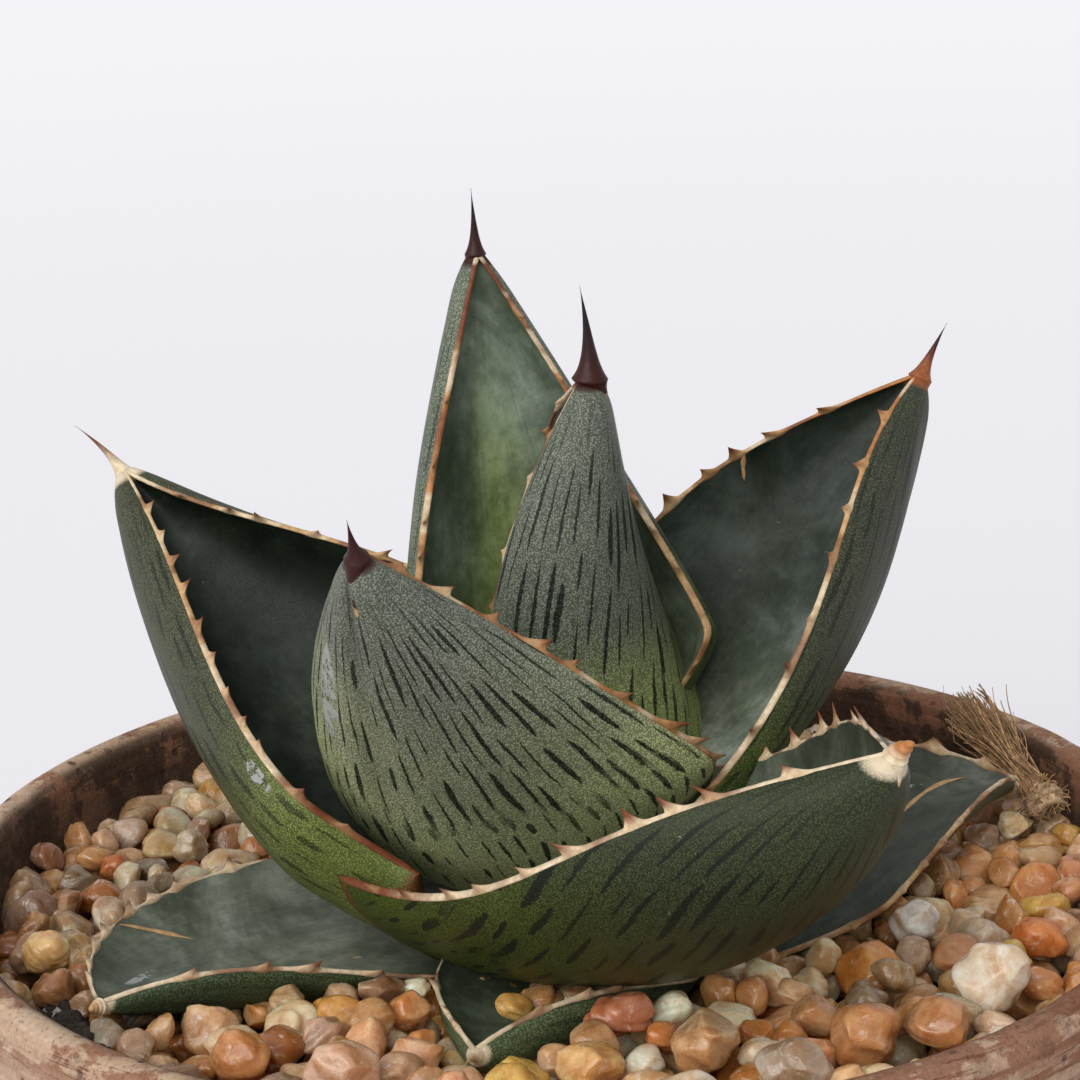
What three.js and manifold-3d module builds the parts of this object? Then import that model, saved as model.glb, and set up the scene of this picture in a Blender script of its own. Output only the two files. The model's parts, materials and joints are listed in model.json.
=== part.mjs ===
// A young agave in a shallow stoneware bowl, top-dressed with rounded quartz gravel.
// Millimetres, +Z up. The origin is the centre of the foot; the front faces -Y.
import * as THREE from 'three';
import { mergeVertices } from 'three/addons/utils/BufferGeometryUtils.js';
import Module from 'manifold-3d';

const wasm = await Module();
wasm.setup();

// ---- driving dimensions ---------------------------------------------------------------

const RIM_RADIUS = 95;
const POT_HEIGHT = 66;
const WALL = 6.7;
const FOOT_RADIUS = 60;
const FOOT_WIDTH = 8;
const FOOT_HEIGHT = 4;
const FLOOR_TOP = 12;
const DRAIN_RADIUS = 6.5;
const BOWL_SWELL = 0.9; // below 1 the wall flares early and stands up towards the lip

const SOIL_TOP = 48;
const GRAVEL_TOP = 56.5;
const GRAVEL_BUMP = 0.9;
const CLEARANCE = 0.3; // air between pieces that touch
const WALL_CLEARANCE = 0.5;

const LATHE_SEGMENTS = 40;
const MIDRIB_STEPS = 40;
const RING_EVERY = 4; // midrib steps between two rings of a leaf
const SECTION_POINTS = 7; // points across one face of a leaf
const BLADE_END = 0.975; // share of the midrib where the blade turns into the spine
const SPINE_RADIUS = 1.6;
const SPINE_RINGS = 3;
const MARGIN_THIN = 0.72; // how much thinner a leaf is at its margin than at its midrib
const TIP_THICKNESS = 0.45; // thickness at the tip, as a share of the thickness at the base

// ---- leaves, from the innermost to the outermost --------------------------------------
// heading: degrees round the stem, 0 to the front, 90 to +X; turn: change by the tip
// rise: [degrees above level at the base, at the tip, exponent of the change]
// half: flat half widths to the left and right of the midrib
// outline: [share of width at the base, station of greatest width, exponent of the taper]
// cup: degrees that each half curls, [left, right, tip]; twist: [base, tip] in degrees
// spine: [length, yaw, pitch]

const LEAVES = [
  { name: 'leaf_center', base: [6, -1.5, 69.5], heading: 38, turn: 16, rise: [94, 87, 1],
    length: 69, half: [16, 26], outline: [0.87, 0.24, 2.4], cup: [85, 27, 119],
    twist: [-12, 28], thick: 8, spine: [14, -4, 2] },
  { name: 'leaf_back', base: [3, 8.5, 67], heading: 213, turn: -19, rise: [48, 91, 0.8],
    length: 90, half: [36, 26], outline: [0.45, 0.24, 1.4], cup: [108, 48, 80],
    twist: [-4, 8], thick: 8, spine: [10.5, 4, -1] },
  { name: 'leaf_bud', base: [5, 4, 68], heading: 200, turn: 0, rise: [88, 90, 1],
    length: 44, half: [13, 13], outline: [0.9, 0.3, 1.6], cup: [130, 130, 140],
    twist: [0, 0], thick: 4, spine: [8, 0, 0] },
  { name: 'leaf_front', base: [-8, -3, 66], heading: -28, turn: 12, rise: [39, 60, 0.5],
    length: 75.5, half: [37, 37], outline: [0.9, 0.2, 1.4], cup: [95, 15, 82],
    twist: [20, -13], thick: 7.4, spine: [7, 1, -7] },
  { name: 'leaf_right', base: [9, 2.5, 65], heading: 111, turn: 12, rise: [38, 61, 0.9],
    length: 86, half: [28.5, 29.5], outline: [0.77, 0.41, 2.2], cup: [56, 69, 117],
    twist: [10, -1], thick: 6.7, spine: [9.5, -6, -6] },
  { name: 'leaf_left', base: [-9.5, -10.5, 60.5], heading: -136, turn: 7, rise: [12, 49, 0.65],
    length: 98, half: [37, 37], outline: [0.61, 0.23, 1.8], cup: [35, 95, 144],
    twist: [-14, -25], thick: 7.9, spine: [11.5, 13, -8] },
  { name: 'leaf_rear', base: [2, 10, 60], heading: 172, turn: 4, rise: [18, 36, 1],
    length: 62, half: [23, 23], outline: [0.8, 0.35, 1.8], cup: [45, 45, 110],
    twist: [0, 0], thick: 6.5, spine: [9, 0, 0] },
  { name: 'leaf_front_low', base: [-6, -11.5, 59], heading: 33, turn: 11, rise: [10.5, 62, 1.5],
    length: 94, half: [32, 36], outline: [1, 0.35, 3.1], cup: [30, 79, 81],
    twist: [-10, 0], thick: 7.8, spine: [4.5, 0, -32] },
  { name: 'leaf_ground_right', base: [12, -5.5, 51.5], heading: 115, turn: 7,
    rise: [28, -17, 1.35], length: 74, half: [28, 17.5], outline: [0.7, 0.37, 1.3],
    cup: [16, 27, 66], twist: [11, 14], thick: 6, spine: [2.5, 0, -22] },
  { name: 'leaf_ground_front', base: [5, -8.5, 53], heading: -21, turn: 2, rise: [-7, 20, 1],
    length: 51.5, half: [17.5, 21.5], outline: [0.8, 0.35, 1.6], cup: [20, 20, 74],
    twist: [-6, 14], thick: 6.2, spine: [6, 0, -19] },
  { name: 'leaf_ground_left', base: [-5, -4.5, 50], heading: -78, turn: 40, rise: [2, 16.5, 1.2],
    length: 73, half: [30, 16], outline: [0.9, 0.36, 2.7], cup: [29, 36, 50],
    twist: [-12, 18], thick: 4, spine: [2.5, 6, -20] },
  { name: 'leaf_rear_low', base: [-4, 9, 54], heading: -165, turn: -4, rise: [4, 12, 1],
    length: 66, half: [22, 22], outline: [0.8, 0.35, 1.7], cup: [30, 30, 90],
    twist: [0, 0], thick: 5.5, spine: [6, 0, 0] },
];

// Larger stones that lie loose on top of the gravel: place, half sizes, turn in degrees.
const STONES = [
  { name: 'stone_cream_large', place: [60, -42], half: [6, 5, 5], turn: 20, colour: 0xd9cbb5 },
  { name: 'stone_white_right', place: [52, -20], half: [4.6, 3.6, 3.3], turn: 60, colour: 0xcfcbc2 },
  { name: 'stone_red_front', place: [8, -47], half: [4.7, 3.4, 3.2], turn: 5, colour: 0xb98468 },
  { name: 'stone_orange_right', place: [51, -54], half: [5, 4.2, 4], turn: -30, colour: 0xb98a5c },
  { name: 'stone_orange_front', place: [41, -57], half: [5.6, 4.6, 4.6], turn: 35, colour: 0xbf8f60 },
  { name: 'stone_yellow_left', place: [-76, -20], half: [4, 3.6, 3.4], turn: 10, colour: 0xc8a970 },
  { name: 'stone_honey_front', place: [19, -58], half: [5.4, 4.5, 4.4], turn: 70, colour: 0xb99467 },
  { name: 'stone_grey_front', place: [30, -66], half: [5, 4.2, 4], turn: -10, colour: 0xa79a8c },
  { name: 'stone_pink_left', place: [-30, -62], half: [5, 4.3, 4], turn: 25, colour: 0xc29a80 },
  { name: 'stone_amber_left', place: [-44, -57], half: [4.8, 4, 3.8], turn: -50, colour: 0xb9895a },
  { name: 'stone_brown_rear', place: [30, 68], half: [5, 4, 3.8], turn: 15, colour: 0xa08a74 },
  { name: 'stone_cream_rear', place: [-46, 62], half: [4.8, 4.4, 4], turn: 40, colour: 0xcdbfa8 },
];
const STONE_SINK = 0.25; // share of a stone's half height that lies below the gravel's top

// A scrap of jute cord inside the rim: a knot, and a frayed end that leans on the wall.
const JUTE_ROUTE = [[80.5, 20.5, 59.8], [78.5, 24, 60.5], [76.5, 28.5, 62], [73, 37, 65.5], [69, 45.5, 69]];
const JUTE_RADII = [2.4, 3.8, 2.6, 3.2, 4.3];
const JUTE_SIDES = 8;

// The short stem and its thick roots.
const STEM_PROFILE = [[0, 26], [4, 30], [9, 42], [11, 50], [9.5, 58], [6, 64], [0, 67]];
const ROOT_COUNT = 5;
const ROOT_REACH = 40;
const ROOT_RADIUS = 2.2;
const ROOT_TOP = 40;
const ROOT_DROP = 18;
const ROOT_SIDES = 6;

// ---- helpers --------------------------------------------------------------------------

const rad = THREE.MathUtils.degToRad;
const mix = THREE.MathUtils.lerp;
const vector = (coordinates) => new THREE.Vector3(...coordinates);

// A position-only, indexed copy with shared vertices and no collapsed triangles.
function welded(geometry) {
  const bare = geometry.clone();
  bare.deleteAttribute('normal');
  bare.deleteAttribute('uv');
  const merged = mergeVertices(bare, 1e-4);
  const kept = [];
  const index = merged.getIndex().array;
  for (let i = 0; i < index.length; i += 3) {
    const [a, b, c] = [index[i], index[i + 1], index[i + 2]];
    if (a !== b && b !== c && c !== a) kept.push(a, b, c);
  }
  merged.setIndex(kept);
  return merged;
}

function toSolid(geometry) {
  const clean = welded(geometry);
  return new wasm.Manifold(new wasm.Mesh({
    numProp: 3,
    vertProperties: new Float32Array(clean.getAttribute('position').array),
    triVerts: new Uint32Array(clean.getIndex().array),
  }));
}

function toGeometry(solid) {
  const mesh = solid.getMesh();
  const geometry = new THREE.BufferGeometry();
  geometry.setAttribute('position', new THREE.BufferAttribute(mesh.vertProperties, 3));
  geometry.setIndex(new THREE.BufferAttribute(mesh.triVerts, 1));
  return geometry;
}

// The same body with its whole skin pushed out by gap.
function swollen(geometry, gap) {
  const grown = welded(geometry);
  grown.computeVertexNormals();
  const position = grown.getAttribute('position');
  const normal = grown.getAttribute('normal');
  for (let i = 0; i < position.count; i++) {
    position.setXYZ(i, position.getX(i) + gap * normal.getX(i),
      position.getY(i) + gap * normal.getY(i), position.getZ(i) + gap * normal.getZ(i));
  }
  return toSolid(grown);
}

// The largest separate body of a solid that a cut has left in pieces. The second pass
// drops slivers that only come apart once close vertices are merged.
function largest(solid) {
  const pick = (whole) => whole.decompose().reduce((a, b) => (b.volume() > a.volume() ? b : a));
  return pick(toSolid(toGeometry(pick(solid))));
}

// A closed body through rings of equal count; each ring runs clockwise seen from the end.
function loft(rings, apex) {
  const count = rings[0].length;
  const points = rings.flat();
  const index = [];
  for (let i = 0; i + 1 < rings.length; i++) {
    for (let j = 0; j < count; j++) {
      const a = i * count + j;
      const b = i * count + ((j + 1) % count);
      index.push(a, a + count, b, b, a + count, b + count);
    }
  }
  const last = (rings.length - 1) * count;
  for (let j = 0; j + 1 < count / 2; j++) {
    const across = count - 1 - j;
    index.push(j, j + 1, across - 1, j, across - 1, across);
    if (!apex) {
      index.push(last + j, last + across - 1, last + j + 1);
      index.push(last + j, last + across, last + across - 1);
    }
  }
  if (apex) {
    points.push(apex);
    for (let j = 0; j < count; j++) {
      index.push(last + j, points.length - 1, last + ((j + 1) % count));
    }
  }
  const geometry = new THREE.BufferGeometry().setFromPoints(points);
  geometry.setIndex(index);
  return geometry;
}

// A ring round centre, in the plane of side and top, in the order that loft needs.
function roundRing(centre, side, top, radius, count) {
  const ring = [];
  for (let j = 0; j < count; j++) {
    const angle = Math.PI - ((j + 0.5) * 2 * Math.PI) / count;
    ring.push(centre.clone().addScaledVector(side, radius * Math.cos(angle))
      .addScaledVector(top, radius * Math.sin(angle)));
  }
  return ring;
}

// A tapered round body along a route.
function taperedTube(route, radii, sides) {
  const curve = new THREE.CatmullRomCurve3(route.map(vector));
  const rings = radii.map((radius, i) => {
    const t = i / (radii.length - 1);
    const along = curve.getTangentAt(t);
    const side = new THREE.Vector3(0, 0, 1).cross(along).normalize();
    const top = along.clone().cross(side);
    return roundRing(curve.getPointAt(t), side, top, radius, sides);
  });
  return loft(rings);
}

function turned(profile) {
  const points = profile.map(([radius, height]) => new THREE.Vector2(radius, height));
  return new THREE.LatheGeometry(points, LATHE_SEGMENTS).rotateX(Math.PI / 2);
}

// ---- pot, soil and gravel -------------------------------------------------------------

function bowlRadius(height) {
  const t = (height - FOOT_HEIGHT) / (POT_HEIGHT - FOOT_HEIGHT);
  return FOOT_RADIUS + (RIM_RADIUS - FOOT_RADIUS) * Math.sin((t * Math.PI) / 2) ** BOWL_SWELL;
}

// Points of the wall between two heights, moved inwards by inset.
function wallPoints(low, high, inset, steps) {
  const points = [];
  for (let i = 0; i <= steps; i++) {
    const height = mix(low, high, i / steps);
    points.push([bowlRadius(height) - inset, height]);
  }
  return points;
}

function makePot() {
  const lip = WALL / 2;
  const lipHeight = POT_HEIGHT - lip;
  const lipCentre = bowlRadius(lipHeight) - lip;
  const lipArc = [1, 2, 3].map((k) => {
    const angle = (k * Math.PI) / 4;
    return [lipCentre + lip * Math.cos(angle), lipHeight + lip * Math.sin(angle)];
  });
  const footInside = FOOT_RADIUS - FOOT_WIDTH;
  return turned([
    [FOOT_RADIUS, 0],
    ...wallPoints(FOOT_HEIGHT, lipHeight, 0, 6),
    ...lipArc,
    ...wallPoints(FLOOR_TOP, lipHeight, WALL, 5).reverse(),
    [DRAIN_RADIUS, FLOOR_TOP],
    [DRAIN_RADIUS, FOOT_HEIGHT],
    [footInside, FOOT_HEIGHT],
    [footInside, 0],
    [FOOT_RADIUS, 0],
  ]);
}

function makeSoil() {
  const domeRadius = DRAIN_RADIUS + 2;
  const domeTop = FLOOR_TOP + 6;
  const bottom = FLOOR_TOP + CLEARANCE;
  return turned([
    [0, domeTop],
    [domeRadius * 0.7, domeTop - 1.5],
    [domeRadius, bottom],
    ...wallPoints(bottom, SOIL_TOP, WALL + WALL_CLEARANCE, 4),
    [0, SOIL_TOP],
  ]);
}

function makeGravel() {
  const bottom = SOIL_TOP + CLEARANCE;
  const inset = WALL + WALL_CLEARANCE;
  const edge = bowlRadius(GRAVEL_TOP) - inset;
  const rings = 6;
  const top = [];
  for (let i = 1; i < rings; i++) top.push([edge * (1 - i / rings), GRAVEL_TOP]);
  const geometry = turned([
    [0, bottom],
    ...wallPoints(bottom, GRAVEL_TOP, inset, 2),
    ...top,
    [0, GRAVEL_TOP],
  ]);
  const position = geometry.getAttribute('position');
  for (let i = 0; i < position.count; i++) {
    const [x, y, z] = [position.getX(i), position.getY(i), position.getZ(i)];
    const bump = Math.sin(x * 0.9) * Math.cos(y * 0.8) * GRAVEL_BUMP;
    if (z > GRAVEL_TOP - CLEARANCE) position.setZ(i, z + bump);
  }
  return geometry;
}

function makeStone(stone) {
  const [a, b, c] = stone.half;
  const geometry = new THREE.IcosahedronGeometry(1, 1);
  const position = geometry.getAttribute('position');
  for (let i = 0; i < position.count; i++) {
    const [x, y, z] = [position.getX(i), position.getY(i), position.getZ(i)];
    const lump = 1 + 0.08 * Math.sin(3 * x + a) * Math.cos(2 * y + b);
    position.setXYZ(i, a * x * lump, b * y * lump, c * z * lump);
  }
  return geometry.rotateZ(rad(stone.turn))
    .translate(...stone.place, GRAVEL_TOP + c * (1 - STONE_SINK));
}

// ---- plant ----------------------------------------------------------------------------

function makeRootstock() {
  let solid = toSolid(turned(STEM_PROFILE));
  for (let i = 0; i < ROOT_COUNT; i++) {
    const angle = (i * 2 * Math.PI) / ROOT_COUNT;
    const [x, y] = [Math.cos(angle), Math.sin(angle)];
    const route = [0, 0.5, 1].map((t) => [
      ROOT_REACH * t * x, ROOT_REACH * t * y, ROOT_TOP - ROOT_DROP * t * t,
    ]);
    const radii = [ROOT_RADIUS, ROOT_RADIUS * 0.75, ROOT_RADIUS * 0.4];
    solid = solid.add(toSolid(taperedTube(route, radii, ROOT_SIDES)));
  }
  return toGeometry(solid);
}

// Places and directions along a leaf's midrib.
function midrib(leaf) {
  const stations = [];
  const point = vector(leaf.base);
  let before = null;
  for (let i = 0; i <= MIDRIB_STEPS; i++) {
    const s = i / MIDRIB_STEPS;
    const heading = rad(leaf.heading + leaf.turn * s);
    const rise = rad(mix(leaf.rise[0], leaf.rise[1], s ** leaf.rise[2]));
    const twist = rad(mix(leaf.twist[0], leaf.twist[1], s));
    const out = new THREE.Vector3(Math.sin(heading), -Math.cos(heading), 0);
    const along = out.clone().multiplyScalar(Math.cos(rise)).setZ(Math.sin(rise));
    const upright = out.clone().multiplyScalar(-Math.sin(rise)).setZ(Math.cos(rise));
    const level = upright.clone().cross(along);
    const side = level.clone().applyAxisAngle(along, twist);
    const top = upright.clone().applyAxisAngle(along, twist);
    if (before) {
      const half = leaf.length / MIDRIB_STEPS / 2;
      point.addScaledVector(before, half).addScaledVector(along, half);
    }
    before = along;
    stations.push({ s, point: point.clone(), along, side, top });
  }
  return stations;
}

// Share of the full width at station s.
function outlineAt(leaf, s) {
  const [baseShare, widest, taper] = leaf.outline;
  if (s < widest) {
    const t = s / widest;
    return mix(baseShare, 1, t * t * (3 - 2 * t));
  }
  return 1 - ((s - widest) / (1 - widest)) ** taper;
}

function bladeRing(leaf, { s, point, side, top }) {
  const upper = [];
  const under = [];
  const thickness = leaf.thick * mix(1, TIP_THICKNESS, s ** 3);
  for (let k = 0; k < SECTION_POINTS; k++) {
    const u = (2 * k) / (SECTION_POINTS - 1) - 1;
    const half = u < 0 ? 0 : 1;
    const cup = rad(mix(leaf.cup[half], leaf.cup[2], s * s));
    const radius = (leaf.half[half] * outlineAt(leaf, s)) / cup;
    const angle = cup * u;
    const skin = point.clone().addScaledVector(side, radius * Math.sin(angle))
      .addScaledVector(top, radius * (1 - Math.cos(angle)));
    const outward = side.clone().multiplyScalar(Math.sin(angle))
      .addScaledVector(top, -Math.cos(angle));
    upper.push(skin);
    under.unshift(skin.clone().addScaledVector(outward, thickness * (1 - MARGIN_THIN * u * u)));
  }
  return [...upper, ...under];
}

function makeLeaf(leaf) {
  const stations = midrib(leaf);
  const blade = stations.filter(({ s }, i) => i % RING_EVERY === 0 && s < BLADE_END);
  const rings = blade.map((station) => bladeRing(leaf, station));
  const { point, along, side, top } = stations[MIDRIB_STEPS];
  const [length, yaw, pitch] = leaf.spine;
  const direction = along.clone().addScaledVector(side, Math.tan(rad(yaw)))
    .addScaledVector(top, Math.tan(rad(pitch))).normalize();
  const tip = point.clone().addScaledVector(direction, length);
  const root = point.clone().addScaledVector(top, (-leaf.thick * TIP_THICKNESS) / 2);
  for (let k = 0; k < SPINE_RINGS; k++) {
    const t = k / SPINE_RINGS;
    const centre = root.clone().lerp(tip, t);
    rings.push(roundRing(centre, side, top, SPINE_RADIUS * (1 - t), 2 * SECTION_POINTS));
  }
  return loft(rings, tip);
}

// ---- assembly -------------------------------------------------------------------------

const object = new THREE.Group();

function addPiece(name, geometry, colour, roughness) {
  const material = new THREE.MeshStandardMaterial({ color: colour, roughness, metalness: 0 });
  const mesh = new THREE.Mesh(geometry, material);
  mesh.name = name;
  object.add(mesh);
}

const LEAF_COLOUR = 0x5f7263;
const HORN_ROUGHNESS = 0.55;

// Each piece is cut by the swollen shapes of those already placed, so that none overlap.
const placed = [];

function placeCut(name, geometry, colour, roughness) {
  let solid = toSolid(geometry);
  for (const other of placed) solid = solid.subtract(other);
  addPiece(name, toGeometry(largest(solid)), colour, roughness);
  placed.push(swollen(geometry, CLEARANCE));
}

placeCut('rootstock', makeRootstock(), 0x8f8262, 0.9);
for (const leaf of LEAVES) placeCut(leaf.name, makeLeaf(leaf), LEAF_COLOUR, HORN_ROUGHNESS);
for (const stone of STONES) placeCut(stone.name, makeStone(stone), stone.colour, 0.35);
placeCut('jute_tuft', taperedTube(JUTE_ROUTE, JUTE_RADII, JUTE_SIDES), 0x9c7f5c, 0.95);
placeCut('gravel_layer', makeGravel(), 0xb49a7c, 0.4);
placeCut('potting_soil', makeSoil(), 0x2b2622, 0.95);
addPiece('pot', makePot(), 0xb09a86, 0.85);

export default object;
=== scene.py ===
"""A young agave in a shallow stoneware bowl, top-dressed with rounded quartz gravel.

Shapes are worked out in millimetres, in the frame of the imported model, and made in metres.
"""

import json
import math

import bmesh
import bpy
import numpy as np
from bpy.props import FloatProperty, FloatVectorProperty, IntProperty, PointerProperty
from mathutils import Matrix, Vector
from mathutils.kdtree import KDTree

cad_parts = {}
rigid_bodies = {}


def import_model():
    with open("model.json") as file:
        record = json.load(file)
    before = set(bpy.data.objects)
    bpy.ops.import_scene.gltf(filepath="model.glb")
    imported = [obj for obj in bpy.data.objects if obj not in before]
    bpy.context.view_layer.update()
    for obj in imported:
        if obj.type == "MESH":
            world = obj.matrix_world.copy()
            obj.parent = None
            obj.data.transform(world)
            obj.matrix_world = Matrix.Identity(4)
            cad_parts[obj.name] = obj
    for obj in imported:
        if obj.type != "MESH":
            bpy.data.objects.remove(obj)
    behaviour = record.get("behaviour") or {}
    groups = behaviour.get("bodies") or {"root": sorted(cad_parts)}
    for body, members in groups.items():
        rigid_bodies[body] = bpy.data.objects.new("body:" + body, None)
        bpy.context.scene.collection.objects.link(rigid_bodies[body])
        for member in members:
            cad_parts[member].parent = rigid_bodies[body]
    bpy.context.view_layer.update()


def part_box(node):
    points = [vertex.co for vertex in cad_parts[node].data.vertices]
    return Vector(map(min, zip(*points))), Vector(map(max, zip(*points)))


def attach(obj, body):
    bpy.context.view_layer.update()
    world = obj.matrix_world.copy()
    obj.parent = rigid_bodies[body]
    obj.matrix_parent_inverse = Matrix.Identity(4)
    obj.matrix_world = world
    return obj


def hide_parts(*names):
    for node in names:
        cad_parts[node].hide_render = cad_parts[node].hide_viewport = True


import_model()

bl_info = {
    "name": "Potted Agave",
    "version": (1, 0, 0),
    "blender": (4, 5, 0),
    "location": "3D View > Sidebar > Agave",
    "description": "Builds a potted agave, leaf by leaf and stone by stone",
    "category": "Add Mesh",
}

MM = 0.001
BODY = "root"
UP = np.array([0.0, 0.0, 1.0])
NEARLY_UP = UP + 1e-3

# ---- bowl ------------------------------------------------------------------------------

POT_HEIGHT = 66.0
RIM_RADIUS = 94.8
FOOT_RADIUS = 59.8
FOOT_WIDTH = 7.8
FOOT_HEIGHT = 4.0
FLOOR_TOP = 12.0
WALL = 6.7
DRAIN_RADIUS = 6.5
BOWL_SWELL = 0.9
CHIPS = 26
SOIL_TOP = 48.0
GRAVEL_TOP = 56.5
CRUMBS = 900

# ---- colours of horn, from fresh cream to the dark of a spine's tip ---------------------

CREAM = (0.68, 0.57, 0.41)
TAN = (0.52, 0.33, 0.16)
ORANGE = (0.44, 0.18, 0.055)
RUST = (0.17, 0.048, 0.018)
MAROON = (0.036, 0.007, 0.006)
INK = (0.012, 0.005, 0.005)

# ---- leaves ----------------------------------------------------------------------------
# Across a leaf, places run from -1 at its left margin to 1 at its right one, and along it,
# stations run from 0 at its base to 1 at its tip.
# base, heading, turn, rise, length, half, outline, cup, twist, thick and spine shape each
# leaf as in the CAD model: spine is its length, yaw and pitch, girth its radius, and wedge
# how far it runs back down the leaf. A blunt spine is broken off.
# upper and under are the colours of the two faces. stripe is the upper face's colour along
# the midrib, and pale_base_and_light its colour at the base, partly a paler base and partly
# painted light. painted_sheen is the place across and the colour of a band of painted sheen
# on the upper face. root is the under face's colour at the base, up to the station reach,
# partly a paler base and partly painted light.
# dashes is how strong the dark dashes are, skew their slant and pitch their spacing in mm.
# fold is the depth of a lengthwise crease in the under face, which painted shade also darkens.
# margin lists (station, colour) along the horny edge, and spine_tint the colours of the
# spine's base and tip. teeth is the height of the largest teeth in mm, and scars lists
# (across, station, size).

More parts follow.
